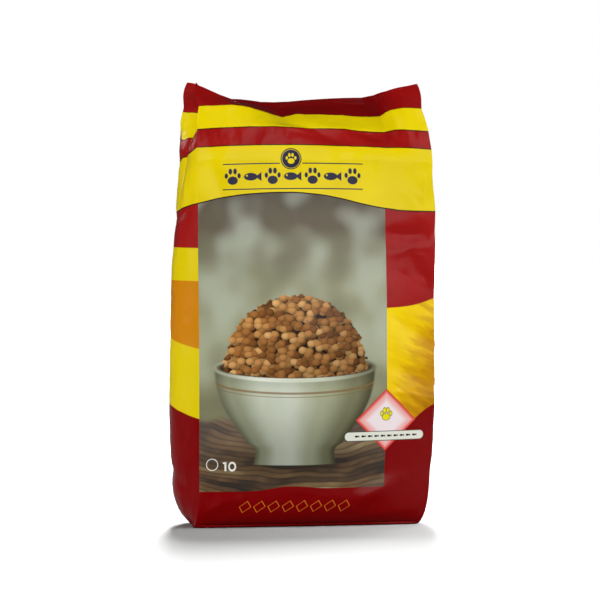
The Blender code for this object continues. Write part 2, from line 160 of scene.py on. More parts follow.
@dataclass(frozen=True)
class TopFold:
    """How the film above the shoulder is folded back, leans in degrees from upright."""

    softness: float = 0.007
    kept_at_body: float = 0.4
    shift_left: float = 0.003
    left_tip_lead: float = 0.0042
    left_tip_from: float = 0.75
    left_tip_fades_over: float = 0.090
    gusset_open_past_fin: float = 0.006
    gusset_flush_in_round: float = 0.012
    gusset_clears_over: float = 0.125
    left_back_leans: Pair = (11.0, 34.0)
    right_back_leans: Pair = (15.0, 47.0)
    knee_drop: float = 0.10
    knee_in: float = 0.86
    rear_spread: float = 0.002
    left_rear_lead: float = 0.0070
    rear_ear_drop: float = 2.6
    right_tuck: float = 0.0045
    right_tuck_from: float = 0.5
    right_tuck_below: float = 0.073
    right_tuck_grows_over: float = 0.060
    right_tuck_ends_over: float = 0.080
    leans: tuple[tuple[float, ...], ...] = (
        (-1.00, 34, 20, 16),
        (-0.92, 52, 20, 14),
        (-0.83, 63, 20, 13),
        (-0.74, 72, 20, 12),
        (-0.64, 77, 30, 10),
        (-0.37, 66, 60, 10),
        (-0.25, 57, 70, 15),
        (-0.13, 64, 60, 16),
        (0.22, 54, 57, 25),
        (0.50, 47, 53, 34),
        (0.60, 42, 50, 33),
        (0.72, 48, 38, 16),
        (0.84, 45, 22, 14),
        (0.92, 39, 20, 14),
        (1.00, 30, 18, 15),
    )


@dataclass(frozen=True)
class FilledBody:
    """The filled part of the bag, in metres."""

    height: float = 0.528
    gusset_slack: float = 0.004
    front_belly: float = 0.022
    back_belly: float = 0.018
    back_belly_at_shoulder: float = 0.0045
    shoulder_hollow: float = 0.004
    belly_reach: float = 0.278
    middle_rise: float = 0.005
    rise_reach: float = 0.198
    right_drop: float = 0.0035
    left_bulges: Stations = (
        (0.0, 0.0), (0.011, 0.0045), (0.023, 0.0080), (0.034, 0.0143), (0.055, 0.0215),
        (0.10, 0.0262), (0.20, 0.0288), (0.36, 0.0312), (0.55, 0.0287), (0.67, 0.0258),
        (0.80, 0.0212), (0.89, 0.0148), (0.93, 0.0095), (0.965, 0.0055), (1.0, 0.0020),
    )
    right_bulges: Stations = (
        (0.0, 0.0), (0.10, 0.0080), (0.20, 0.0110), (0.36, 0.0130), (0.57, 0.0150), (0.67, 0.0120),
        (0.80, 0.0080), (0.89, 0.0020), (1.0, 0.0005),
    )
    bulge_softness: float = 0.014
    left_fold_bulge: float = 0.020
    fold_bulge_reach: float = 0.105
    heel_height: float = 0.050
    right_taper: float = 0.0125
    right_taper_height: float = 0.190
    right_taper_curve: float = 1.5
    foot_depth_tuck: float = 0.014
    foot_left_spread: float = 0.005
    foot_right_tuck: float = 0.014
    foot_back_tuck: float = 0.017
    lip_height: float = 0.0045
    lip_reach: float = 0.0012
    lip_fades_over: float = 0.25
    groove_depth: float = 0.002
    groove_width: float = 0.0014

    def fallen(self, height: float) -> float:
        """How far down the body a height is: 0 at the shoulder, 1 where the belly is full."""
        return ease((self.height - height) / self.belly_reach)

    def front_out(self, height: float) -> float:
        """How far the middle of the front stands out past its corners."""
        full = self.front_belly * self.fallen(height) * heel(height, self.heel_height)
        return full - self.shoulder_hollow * (1.0 - self.fallen(height))

    def back_out(self, height: float) -> float:
        """How far the middle of the back stands out past its corners."""
        belly = blend(self.back_belly_at_shoulder, self.back_belly, self.fallen(height))
        return belly * heel(height, self.heel_height)

    def side_out(self, side: int, height: float) -> float:
        """How far a gusset stands out past the corners.

        Args:
            side: -1 for the left gusset, +1 for the right one.
            height: Metres above the floor.

        Returns:
            Metres, evened out over the bulges' softness.
        """
        stations = np.array(self.left_bulges if side < 0 else self.right_bulges)
        near = height + min(self.bulge_softness, height / 2) * np.linspace(-1.0, 1.0, 5)
        return float(np.interp(near / self.height, stations[:, 0], stations[:, 1]).mean())

    def tapered(self, height: float, shares: np.ndarray) -> np.ndarray:
        """How far each column is drawn in towards the left, most at the right foot."""
        near_foot = np.clip(1.0 - height / self.right_taper_height, 0.0, 1.0)
        return self.right_taper * near_foot**self.right_taper_curve * (shares + 1.0) / 2

    def line_height(self, height: float, shares: np.ndarray) -> np.ndarray:
        """The height of one line of print: near the top it rises in the middle and sinks to the right.

        Args:
            height: The line's height at the left corner, in metres.
            shares: The columns, as shares of the half width.

        Returns:
            The height of each column.
        """
        near_top = ease(1.0 - (self.height - height) / self.rise_reach)
        rise = self.middle_rise * (1.0 - shares**2) - self.right_drop * (shares + 1.0) / 2
        return height + near_top * rise

    def lip_offset(self, height: float) -> float:
        """The folded base seal: a thin lip at the floor with a groove above it.

        Args:
            height: Metres above the floor.

        Returns:
            How far the film stands out, in metres.
        """
        half_lip = self.lip_height / 2
        lip = 1.0 - ease((height - half_lip) / half_lip)
        groove = np.exp(-(((height - self.lip_height) / self.groove_width) ** 2))
        return self.lip_reach * lip - self.groove_depth * groove


@dataclass(frozen=True)
class Crease:
    """A fold pressed into the film of one panel, from one point to another.

    The points are a share of the panel's half width and a share of the body's height. A negative
    depth stands out as a ridge. A crisp crease has a sharp bottom and straight flanks.
    """

    panel: Panel
    start: Pair
    end: Pair
    depth: float
    width: float
    crisp: bool = False


@dataclass(frozen=True)
class Division:
    """How finely the film is divided."""

    ear_columns: int = 28
    middle_columns: int = 76
    rib_rows: int = 6
    shoulder_rows: int = 56
    body_rows: int = 150
    heel_rows: int = 14
    lip_rows: tuple[float, ...] = (4.2, 3.0, 2.2, 1.6, 1.35, 1.2, 1.05, 0.95, 0.85, 0.7, 0.5, 0.2, 0.0)
    crowding: float = 1.35
    crowded_share: float = 0.8
    fine_steps: int = 960
    small: float = 1e-9


COMMON_FOLD = (0.0028, 0.011)
SHARP_FOLD = (0.0010, 0.0045)


def folds(panel: Panel, common: Pair, *rows: tuple) -> tuple[Crease, ...]:
    """Folds pressed into one panel.

    Args:
        panel: The panel.
        common: The depth and the width of the common fold of this kind.
        rows: The two ends of each fold, and how many times as deep and as wide as the common one it is.

    Returns:
        The creases, in the same order.
    """
    depth, width = common
    sharp = common is SHARP_FOLD
    return tuple(
        Crease(panel, start, end, depth * deep, width * wide, sharp) for start, end, deep, wide in rows
    )


MAIN_FOLDS = (
    *folds(
        Panel.FRONT,
        COMMON_FOLD,
        ((0.58, 0.790), (0.98, 0.803), 1.0, 1.0),
        ((0.62, 0.748), (0.96, 0.767), -0.6, 0.9),
        ((0.74, 0.758), (0.98, 0.634), 0.8, 0.9),
        ((0.66, 0.568), (0.98, 0.496), 0.8, 1.0),
        ((0.62, 0.439), (0.97, 0.388), 0.9, 1.1),
        ((0.64, 0.371), (0.97, 0.345), -0.7, 0.9),
        ((-0.25, 1.117), (0.28, 1.045), 1.1, 0.9),
        ((0.34, 1.083), (0.66, 1.061), 0.9, 0.8),
        ((-0.96, 1.061), (-0.80, 0.890), 0.7, 1.1),
        ((-0.96, 0.057), (-0.62, 0.087), -0.8, 1.1),
        ((0.30, 0.066), (0.72, 0.129), -1.0, 1.2),
        ((-0.28, 0.080), (0.14, 0.095), 0.6, 1.1),
    ),
    *folds(
        Panel.BACK,
        COMMON_FOLD,
        ((-0.70, 0.947), (-0.20, 0.833), 1.2, 1.4),
        ((0.75, 0.909), (0.25, 0.862), 1.1, 1.3),
        ((-0.96, 0.625), (-0.62, 0.568), 1.1, 1.2),
        ((0.96, 0.473), (0.60, 0.426), 1.1, 1.2),
    ),
    *folds(
        Panel.LEFT,
        COMMON_FOLD,
        ((-0.80, 0.890), (0.70, 0.814), 1.1, 1.2),
        ((-0.70, 0.114), (0.75, 0.170), 1.1, 1.2),
    ),
    *folds(
        Panel.RIGHT,
        COMMON_FOLD,
        ((-0.80, 0.852), (0.80, 0.890), 1.1, 1.2),
        ((-0.70, 0.303), (0.75, 0.246), 0.9, 1.2),
    ),
)

FINE_CREASES = folds(
    Panel.FRONT,
    SHARP_FOLD,
    ((0.59, 0.805), (0.72, 0.796), 0.9, 1.1),
    ((0.70, 0.797), (0.97, 0.797), 1.2, 1.3),
    ((0.76, 0.748), (0.83, 0.757), 0.6, 0.8),
    ((0.82, 0.757), (0.97, 0.744), 0.9, 0.8),
    ((0.67, 0.695), (0.78, 0.677), 0.8, 0.9),
    ((0.79, 0.690), (0.94, 0.680), 0.5, 0.9),
    ((0.78, 0.669), (0.97, 0.639), 1.3, 1.1),
    ((0.62, 0.587), (0.83, 0.484), 0.8, 1.7),
    ((0.73, 0.547), (0.80, 0.532), 0.6, 0.7),
    ((0.68, 0.516), (0.84, 0.492), 0.6, 0.9),
    ((0.83, 0.545), (0.99, 0.571), -0.8, 1.3),
    ((0.59, 0.369), (0.70, 0.384), 1.0, 0.9),
    ((0.69, 0.384), (0.96, 0.374), 1.1, 0.9),
    ((0.74, 0.350), (0.85, 0.336), 0.7, 0.8),
    ((-0.29, 1.082), (0.22, 1.048), 0.9, 0.8),
    ((0.30, 1.079), (0.58, 1.064), 0.8, 0.8),
    ((-0.93, 1.088), (-0.90, 1.036), 0.4, 0.7),
    ((-0.84, 1.090), (-0.82, 1.040), 0.3, 0.7),
    ((-0.735, 0.088), (-0.99, 0.032), -1.4, 1.5),
    ((-0.735, 0.088), (-0.49, 0.034), -0.9, 1.3),
    ((-0.92, 0.024), (-0.58, 0.024), -2.4, 3.6),
    ((-0.31, 0.104), (0.13, 0.085), -1.5, 2.4),
    ((0.30, 0.070), (0.66, 0.118), -1.2, 2.2),
    ((0.44, 0.034), (0.95, 0.048), -1.6, 2.2),
    ((-0.95, 0.160), (-0.98, 0.060), -0.6, 1.2),
)


@dataclass
class FilmTube:
    """The film's shape: rows of points round the bag, and each point's place on the flat film."""

    cut: FilmCut
    fold: TopFold
    body: FilledBody
    mesh: Division

    def __post_init__(self) -> None:
        """Works out the columns and rows that every panel shares."""
        self.shares = self.panel_shares()
        self.downs = self.top_rows()
        self.heights = self.body_rows()
        self.sealed = int(np.searchsorted(self.downs, self.cut.seal_height + self.mesh.small))
        self.corner_depth = self.cut.gusset_fold - self.body.gusset_slack
        self.foot_depth = self.corner_depth - self.body.foot_depth_tuck

    def panel_shares(self) -> np.ndarray:
        """The columns of a panel, closer together at its corners.

        Returns:
            Shares of the half width, from -1 at the left to 1 at the right.
        """
        cut, mesh = self.cut, self.mesh
        ear = np.linspace(cut.ear_share, 1.0, mesh.ear_columns + 1)
        crowded = 1.0 - (1.0 - ear) ** mesh.crowding * (1.0 - cut.ear_share) ** (1.0 - mesh.crowding)
        ear = blend(ear, crowded, mesh.crowded_share)
        seam_edge = cut.seam_share + cut.seam_thickness / cut.half
        middle = np.linspace(seam_edge, cut.ear_share, mesh.middle_columns // 2 - 2)
        seam = np.array([cut.seam_share / 3, cut.seam_share])
        right = np.concatenate([seam, middle, ear[1:]])
        return np.concatenate([-right[::-1], right])

    def top_rows(self) -> np.ndarray:
        """The rows above the body, several to each crimped rib.

        Returns:
            Distances down the film from the cut edge.
        """
        cut = self.cut
        ribs = round(cut.seal_height / cut.rib_pitch) * self.mesh.rib_rows
        seal = np.linspace(0.0, cut.seal_height, ribs + 1)
        below = np.linspace(cut.seal_height, cut.above_body, self.mesh.shoulder_rows + 1)[1:]
        return np.concatenate([seal, below])

    def body_rows(self) -> np.ndarray:
        """The rows below the shoulder, closer together over the heel and round the lip.

        Returns:
            Heights above the floor, from the top row down.
        """
        low = self.body.lip_height * np.array(self.mesh.lip_rows)
        tall = np.linspace(self.body.height, self.body.heel_height, self.mesh.body_rows)[1:-1]
        heel_part = np.linspace(self.body.heel_height, low[0], self.mesh.heel_rows + 1)[:-1]
        return np.concatenate([tall, heel_part, low])

    def depth_at(self, height: float) -> float:
        """Half the bag's depth at its corners."""
        return blend(self.foot_depth, self.corner_depth, heel(height, self.body.heel_height))

    def lean_at(self, shares: np.ndarray, down: Numbers) -> np.ndarray:
        """How far the front film leans back from upright.

        Args:
            shares: The columns, as shares of the half width.
            down: Distances down the film from the cut edge.

        Returns:
            Radians for each column and distance.
        """
        cut = self.cut
        stations = np.array(self.fold.leans, dtype=float)
        fin, shoulder, lower = (
            np.radians(np.interp(shares, stations[:, 0], stations[:, index])) for index in (1, 2, 3)
        )
        lean = blend(fin, shoulder, ease((down - cut.fin_band) / self.fold.softness + 0.5))
        lean = blend(lean, lower, ease((down - cut.shoulder_fold) / self.fold.softness + 0.5))
        return blend(lean, self.fold.kept_at_body * lean, ease((down - cut.lower_fold) / cut.round_over))

    def tucked(self, up: float) -> np.ndarray:
        """How far the right shoulder is drawn in.

        Args:
            up: Distance up the film from the body.

        Returns:
            Metres for each column.
        """
        fold = self.fold
        near_edge = ease((self.shares - fold.right_tuck_from) / (1.0 - fold.right_tuck_from))
        grown = ease((up + fold.right_tuck_below) / fold.right_tuck_grows_over)
        ended = ease((self.cut.above_body - up) / fold.right_tuck_ends_over)
        return fold.right_tuck * near_edge * grown * ended

    def tip_lead(self, down: float) -> np.ndarray:
        """How far the left ear leans out to the left.

        Args:
            down: Distance down the film from the cut edge.

        Returns:
            Metres for each column.
        """
        fold = self.fold
        near_edge = ease((-self.shares - fold.left_tip_from) / (1.0 - fold.left_tip_from))
        return fold.left_tip_lead * near_edge * (1.0 - ease(down / fold.left_tip_fades_over))

    def across(self, y: np.ndarray, z: np.ndarray) -> np.ndarray:
        """Places a row's columns so that the film keeps its width where it bends out of its plane.

        Args:
            y: How far back each column is.
            z: How high each column is.

        Returns:
            The x of each column.
        """
        film = np.diff(self.shares) * self.cut.half
        bent = np.hypot(np.diff(y), np.diff(z))
        steps = np.sqrt(np.maximum(film**2 - bent**2, (0.5 * film) ** 2))
        x = np.concatenate([[0.0], np.cumsum(steps)])
        return x - x[-1] / 2

    @staticmethod
    def climb(lean: np.ndarray, step: float) -> tuple[np.ndarray, np.ndarray]:
        """Follows the leaning film up from the body.

        Args:
            lean: The lean at each row, from the cut edge down.
            step: The distance between two rows.

        Returns:
            How far back and how far up the film has come at each row.
        """
        middle = (lean[1:] + lean[:-1]) / 2
        last = np.zeros((1,) + lean.shape[1:])
        back = np.concatenate([np.cumsum(np.sin(middle)[::-1], axis=0)[::-1] * step, last])
        up = np.concatenate([np.cumsum(np.cos(middle)[::-1], axis=0)[::-1] * step, last])
        return back, up

    def front(self) -> tuple[np.ndarray, np.ndarray]:
        """The front panel, folded back above the shoulder and bellied below it.

        Returns:
            The points by row and column, and the lean of each point of the top rows.
        """
        cut, body, shares = self.cut, self.body, self.shares
        arch = 1.0 - shares**2
        fine = np.linspace(0.0, cut.above_body, self.mesh.fine_steps + 1)
        back, up = self.climb(self.lean_at(shares[None, :], fine[:, None]), fine[1])
        start_y = -(self.depth_at(body.height) + body.front_out(body.height) * arch)
        start_z = body.line_height(body.height, shares)
        leans = self.lean_at(shares[None, :], self.downs[:, None])
        rows = []
        for row, down in enumerate(self.downs):
            y = start_y + np.array([np.interp(down, fine, column) for column in back.T])
            z = start_z + np.array([np.interp(down, fine, column) for column in up.T])
            x = self.across(y, z) - self.fold.shift_left * ease(1.0 - down / cut.above_body)
            x -= self.tucked(cut.above_body - down) + self.tip_lead(down)
            rib = 0.0
            if down < cut.seal_height:
                rib = cut.rib_depth * math.cos(2.0 * math.pi * down / cut.rib_pitch)
            rows.append(points(x, y, z) - rib * inward(leans[row]))
        left_foot, right_foot = -cut.half - body.foot_left_spread, cut.half - body.foot_right_tuck
        foot = np.interp(shares, (-1.0, 1.0), (left_foot, right_foot))
        clear_of_corner = ease((1.0 - np.abs(shares)) / (1.0 - cut.ear_share) / body.lip_fades_over)
        for height in self.heights:
            y = -(self.depth_at(height) + body.front_out(height) * arch)
            y -= body.lip_offset(height) * clear_of_corner
            z = body.line_height(height, shares)
            x = blend(foot, self.across(y, z), heel(height, body.heel_height))
            x -= body.tapered(height, shares) + self.tucked(height - body.height)
            rows.append(points(x, y, z))
        return np.array(rows), leans

    def rear_corner(self, front_corner: np.ndarray, side: int) -> np.ndarray:
        """A back corner line of the bag, from the tip of its rear ear to the floor.

        Args:
            front_corner: The front corner line of the same side.
            side: -1 for the left, +1 for the right.

        Returns:
            One point for each row.
        """
        cut, body = self.cut, self.body
        count = len(self.downs)
        fine = np.linspace(0.0, cut.above_body, self.mesh.fine_steps + 1)
        low, high = np.radians(self.fold.left_back_leans if side < 0 else self.fold.right_back_leans)
        back, up = self.climb(blend(high, low, ease(fine / cut.above_body)), fine[1])
        spread = side * self.fold.rear_spread * np.sin(math.pi * self.downs / cut.above_body)
        if side < 0:
            spread -= self.fold.left_rear_lead * (1.0 - ease(self.downs / cut.above_body))
        top = points(
            front_corner[:count, 0] + spread,
            self.corner_depth - np.interp(self.downs, fine, back),
            body.height + np.interp(self.downs, fine, up),
        )
        foot = side * (cut.half - body.foot_back_tuck)
        if side > 0:
            foot -= body.right_taper
        x = blend(foot, front_corner[count:, 0], heel(self.heights, body.heel_height))
        return np.concatenate([top, points(x, self.depth_at(self.heights), self.heights)])

    def back(
        self, front: np.ndarray, leans: np.ndarray, left: np.ndarray, right: np.ndarray
    ) -> np.ndarray:
        """The back panel: sealed to the front in the middle, apart from it in the ears and below.

        Args:
            front: The front panel's points.
            leans: The leans of its top rows.
            left: The left back corner line.
            right: The right back corner line.

        Returns:
            The points by row and column.
        """
        cut, body, shares = self.cut, self.body, self.shares
        arch = 1.0 - shares**2
        ear = np.clip((np.abs(shares) - cut.ear_share) / (1.0 - cut.ear_share), 0.0, 1.0)
        ear = ear**self.fold.rear_ear_drop
        seam = cut.seam_thickness * (np.abs(shares) <= cut.seam_share + self.mesh.small)
        foot_y = self.corner_depth + body.back_out(body.height) * arch + seam
        foot_z = body.line_height(body.height, shares)
        last = self.sealed - 1
        root = front[last] + cut.seal_thickness * inward(leans[last])
        knee_z = blend(root[:, 2], body.height, self.fold.knee_drop)
        rows = []
        for row, down in enumerate(self.downs):
            outer = blend(left[row], right[row], (shares[:, None] + 1.0) / 2)
            if row <= last:
                middle = front[row] + cut.seal_thickness * inward(leans[row])
            else:
                share = (down - cut.seal_height) / (cut.above_body - cut.seal_height)
                foot = points(outer[:, 0], foot_y, foot_z)
                knee = points(outer[:, 0], foot_y * self.fold.knee_in, knee_z)
                middle = blend(blend(root, knee, share), blend(knee, foot, share), share)
            rows.append(blend(middle, outer, ear[:, None]))
        count = len(self.downs)
        for near, far, height in zip(left[count:], right[count:], self.heights):
            x = np.interp(shares, (-1.0, 1.0), (near[0], far[0]))
            y = self.depth_at(height) + body.back_out(height) * arch
            y += seam * heel(height, body.heel_height)
            rows.append(points(x, y, body.line_height(height, shares)))
        return np.array(rows)

    def gusset(self, front: np.ndarray, leans: np.ndarray, back: np.ndarray, side: int) -> np.ndarray:
        """One side of the bag from its front corner to its back corner.

        Args:
            front: The front panel's points.
            leans: The leans of its top rows.
            back: The back panel's points.
            side: -1 for the left, +1 for the right.

        Returns:
            The points by row and column, with the valley fold in the middle.
        """
        cut, body, ears = self.cut, self.body, self.mesh.ear_columns
        pick = np.arange(ears + 1) if side < 0 else -1 - np.arange(ears + 1)
        turns = (1.0 - np.abs(self.shares[pick])) / (1.0 - cut.ear_share)
        turns = turns[:, None]
        out = np.array([side, 0.0, 0.0])
        opens = cut.fin_band + self.fold.gusset_open_past_fin
        flush = cut.lower_fold + self.fold.gusset_flush_in_round
        off_fold = ease(turns / self.fold.gusset_clears_over) * cut.seal_thickness / 2
        lobes = body.left_fold_bulge if side < 0 else 0.0
        offset = np.zeros(3)
        rows = []
        for row in range(len(front)):
            near, far = front[row][pick], back[row][pick]
            middle = (near[0] + far[0]) / 2
            if row >= len(self.downs):
                height = self.heights[row - len(self.downs)]
                bulge = body.side_out(side, height)
                lobe = lobes * ease(1.0 - (body.height - height) / body.fold_bulge_reach)
                valley = middle + out * bulge
                bow = turns * (1.0 - turns) * (bulge + lobe) * out
                halves = [blend(corner, valley, turns) + bow for corner in (near[0], far[0])]
                rows.append(np.concatenate([halves[0], halves[1][-2::-1]]))
                continue
            normal = inward(leans[row][pick])
            rear_normal = blend(np.array([0.0, 1.0, 0.0]), normal, turns)
            rear_normal /= np.linalg.norm(rear_normal, axis=1)[:, None]
            half_front = near + normal * off_fold
            half_rear = far - rear_normal * off_fold
            if row < self.sealed:
                offset = half_front[-1] - middle
            else:
                past = self.downs[row] - cut.seal_height
                tuck = 1.0 - ease(past / (flush - cut.seal_height))
                bulge = body.side_out(side, body.height) * ease(past / (cut.above_body - cut.seal_height))
                lobe = lobes * ease(past / (cut.shoulder_fold - cut.seal_height))
                valley = middle + offset * tuck + out * bulge
                bow = turns * (1.0 - turns) * (bulge + lobe) * out
                opened = ease(past / (opens - cut.seal_height))
                half_front = blend(half_front, blend(near[0], valley, turns) + bow, opened)
                half_rear = blend(half_rear, blend(far[0], valley, turns) + bow, opened)
                half_front[-1] = valley
            rows.append(np.concatenate([half_front, half_rear[-2::-1]]))
        return np.array(rows)

    def sheet(self) -> tuple[np.ndarray, np.ndarray, np.ndarray]:
        """The folded sheet, from the back seam round the left, the front and the right to it again.

        Returns:
            The points by row and column, each column's distance across the flat film from the
            middle of the front, and each row's distance down it from the cut edge.
        """
        cut = self.cut
        front, leans = self.front()
        left_line = self.rear_corner(front[:, 0], -1)
        right_line = self.rear_corner(front[:, -1], +1)
        back = self.back(front, leans, left_line, right_line)
        left = self.gusset(front, leans, back, -1)
        right = self.gusset(front, leans, back, +1)
        half = len(self.shares) // 2
        columns = [
            back[:, :half][:, ::-1],
            left[:, ::-1][:, 1:-1],
            front,
            right[:, 1:-1],
            back[:, half:][:, ::-1],
            back[:, half - 1 : half],
        ]
        rear = self.shares[half:][::-1]
        turns = (1.0 - rear[: self.mesh.ear_columns + 1]) / (1.0 - cut.ear_share)
        fold_u = cut.half + cut.gusset_fold * np.concatenate([turns, 2.0 - turns[-2::-1]])
        back_u = cut.half + 2.0 * cut.gusset_fold + cut.half * (1.0 - rear)
        across = np.concatenate(
            [
                -back_u[::-1],
                -fold_u[::-1][1:-1],
                self.shares * cut.half,
                fold_u[1:-1],
                back_u,
                [cut.round_the_tube - back_u[-1]],
            ]
        )
        down = np.concatenate([self.downs, cut.above_body + self.body.height - self.heights])
        return np.concatenate(columns, axis=1), across, down


@dataclass(frozen=True)
class LooseFilm:
    """How far the film crumples, in metres, where it isn't stretched over the filling."""

    seal: float = 0.00015
    shoulder: float = 0.0011
    gusset: float = 0.0012
    right_edge: float = 0.0008
    base: float = 0.0008
    back: float = 0.0006
    middle: float = 0.00022
    corner_lead: float = 0.004
    corner_over: float = 0.012
    rear_over: float = 0.020
    right_from: float = 0.095
    right_over: float = 0.060
    shoulder_to: float = 0.110
    shoulder_over: float = 0.060
    base_rise: float = 0.070
    base_over: float = 0.050
    seal_over: float = 0.020
    size: float = 0.034
    stretch: float = 1.3
    seed: float = 4.7
    ridges: tuple[float, float, int, float, float] = (1.0, 2.1, 3, 0.9, 1.6)

    def reach(self, cut: FilmCut, across: np.ndarray, down: np.ndarray, length: float) -> np.ndarray:
        """How far the film may crumple, by its place on the flat film.

        Args:
            cut: The flat bag.
            across: Metres across the flat film from the middle of the front.
            down: Metres down it from the cut edge.
            length: The film's whole length.

        Returns:
            Metres at each point.
        """
        side = ease((np.abs(across) - cut.half + self.corner_lead) / self.corner_over)
        rear = ease((np.abs(across) - cut.half - 2.0 * cut.gusset_fold) / self.rear_over)
        right = ease((across - self.right_from) / self.right_over)
        reach = blend(self.middle, self.right_edge, right * (1.0 - side))
        reach = blend(reach, self.gusset, side)
        reach = blend(reach, self.back, rear)
        high = ease(1.0 - (down - self.shoulder_to) / self.shoulder_over)
        low = ease((down - length + self.base_rise) / self.base_over)
        reach = np.maximum(np.maximum(reach, self.shoulder * high), self.base * low)
        return blend(self.seal, reach, ease((down - cut.seal_height) / self.seal_over))


@dataclass
class FilmBag:
    """The whole film of the bag as one closed mesh over its filling."""

    tube: FilmTube
    creases: tuple[Crease, ...]
    loose: LooseFilm
    crisp_bottom: float = 0.12
    blunt_end: float = 0.04
    calm_foot: float = 0.018
    sharpest_angle: float = 60.0
    name: str = "film_bag"

    def on_film(self, panel: Panel, point: Pair) -> np.ndarray:
        """A crease's point as a place on the flat film.

        Args:
            panel: The panel that the point is on.
            point: Share of the panel's half width, and share of the body's height.

        Returns:
            Metres across the film from the middle of the front, and down it from the cut edge.
        """
        cut = self.tube.cut
        share, height = point
        down = cut.above_body + self.tube.body.height * (1.0 - height)
        if panel is Panel.FRONT:
            return np.array([share * cut.half, down])
        if panel is Panel.BACK:
            rear = cut.half + 2.0 * cut.gusset_fold + cut.half * (1.0 - abs(share))
            return np.array([math.copysign(rear, share), down])
        side = -1.0 if panel is Panel.LEFT else 1.0
        return np.array([side * (cut.half + cut.gusset_fold * (1.0 + share)), down])

    def pressed_in(self, across: np.ndarray, down: np.ndarray) -> np.ndarray:
        """How deep the creases push the film in.

        Args:
            across: Metres across the flat film from the middle of the front.
            down: Metres down it from the cut edge.

        Returns:
            Metres at each point, less than 0 on a ridge.
        """
        depth = np.zeros(across.shape)
        here = np.stack([across, down], axis=-1)
        for crease in self.creases:
            first = self.on_film(crease.panel, crease.start)
            along = self.on_film(crease.panel, crease.end) - first
            share = np.clip((here - first) @ along / (along @ along), 0.0, 1.0)
            away = np.linalg.norm(here - first - share[..., None] * along, axis=-1) / crease.width
            tip = np.sqrt(np.sin(math.pi * np.clip(share, self.blunt_end, 1.0 - self.blunt_end)))
            shape = np.exp(-(away**2))
            if crease.crisp:
                shape = np.exp(self.crisp_bottom - np.sqrt(away**2 + self.crisp_bottom**2))
            depth += crease.depth * tip * shape
        return depth

    def crumpled(self, across: np.ndarray, down: np.ndarray) -> np.ndarray:
        """How far the film's own crumples stand out.

        Args:
            across: Metres across the flat film from the middle of the front.
            down: Metres down it from the cut edge.

        Returns:
            Metres at each point.
        """
        loose = self.loose
        reach = loose.reach(self.tube.cut, across, down, float(down.max()))
        heights = np.empty(across.shape)
        for index in np.ndindex(across.shape):
            place = (across[index] / loose.size, down[index] / (loose.size * loose.stretch), loose.seed)
            heights[index] = noise.ridged_multi_fractal(Vector(place), *loose.ridges)
        return (heights - heights.mean()) * reach

    @staticmethod
    def outward(sheet: np.ndarray) -> np.ndarray:
        """The film's outward direction.

        Args:
            sheet: The folded sheet's points by row and column.

        Returns:
            A direction of length 1 at each point.
        """
        along_row = np.gradient(sheet, axis=1)
        down_column = np.gradient(sheet, axis=0)
        normal = np.cross(down_column, along_row)
        length = np.linalg.norm(normal, axis=2, keepdims=True)
        return normal / np.maximum(length, 1e-12)

    def build(self) -> bpy.types.Object:
        """Divides a flat sheet, folds it round the filling, welds its seam and closes its ends.

        Returns:
            The finished film.
        """
        sheet, across, down = self.tube.sheet()
        grid_across, grid_down = np.meshgrid(across, down)
        depth = self.pressed_in(grid_across, grid_down) - self.crumpled(grid_across, grid_down)
        stands = np.clip(sheet[:, :, 2] / self.calm_foot, 0.0, 1.0)
        depth[:, -1] = depth[:, 0]
        sheet = sheet - self.outward(sheet) * (depth * stands)[:, :, None]
        sheet[:, -1] = sheet[:, 0]
        sheet[:, :, 2] = np.maximum(sheet[:, :, 2], 0.0)
        low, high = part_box("bag")
        middle = (sheet.min(axis=(0, 1)) + sheet.max(axis=(0, 1))) / 2
        sheet[:, :, 0] += (low.x + high.x) / 2 - middle[0]
        sheet[:, :, 1] += (low.y + high.y) / 2 - middle[1]
        rows, columns = sheet.shape[:2]
        bpy.ops.object.select_all(action="DESELECT")
        bpy.ops.mesh.primitive_grid_add(x_subdivisions=columns - 1, y_subdivisions=rows - 1, size=1.0)
        film = bpy.context.object
        film.name = self.name
        film.data.name = self.name
        order = self.fold_flat_grid(film, sheet, across, down)
        self.close_ends(film, order)
        return film

    def fold_flat_grid(
        self, film: bpy.types.Object, sheet: np.ndarray, across: np.ndarray, down: np.ndarray
    ) -> np.ndarray:
        """Moves each point of the flat grid to its place and writes the flat film into its UV map.

        Args:
            film: The flat grid.
            sheet: The folded sheet's points by row and column.
            across: Each column's distance across the flat film.
            down: Each row's distance down it.

        Returns:
            The index of the vertex at each row and column.
        """
        rows, columns = sheet.shape[:2]
        mesh = film.data
        flat = np.empty(len(mesh.vertices) * 3)
        mesh.vertices.foreach_get("co", flat)
        flat = flat.reshape(-1, 3)
        column = np.rint((flat[:, 0] + 0.5) * (columns - 1)).astype(int)
        row = np.rint((0.5 - flat[:, 1]) * (rows - 1)).astype(int)
        mesh.vertices.foreach_set("co", sheet[row, column].ravel())
        order = np.empty((rows, columns), int)
        order[row, column] = np.arange(len(flat))
        corners = np.empty(len(mesh.loops), int)
        mesh.loops.foreach_get("vertex_index", corners)
        place = np.stack([across[column[corners]], down[row[corners]]], axis=1)
        mesh.uv_layers.active.name = "Film"
        mesh.uv_layers.active.data.foreach_set("uv", place.ravel())
        return order

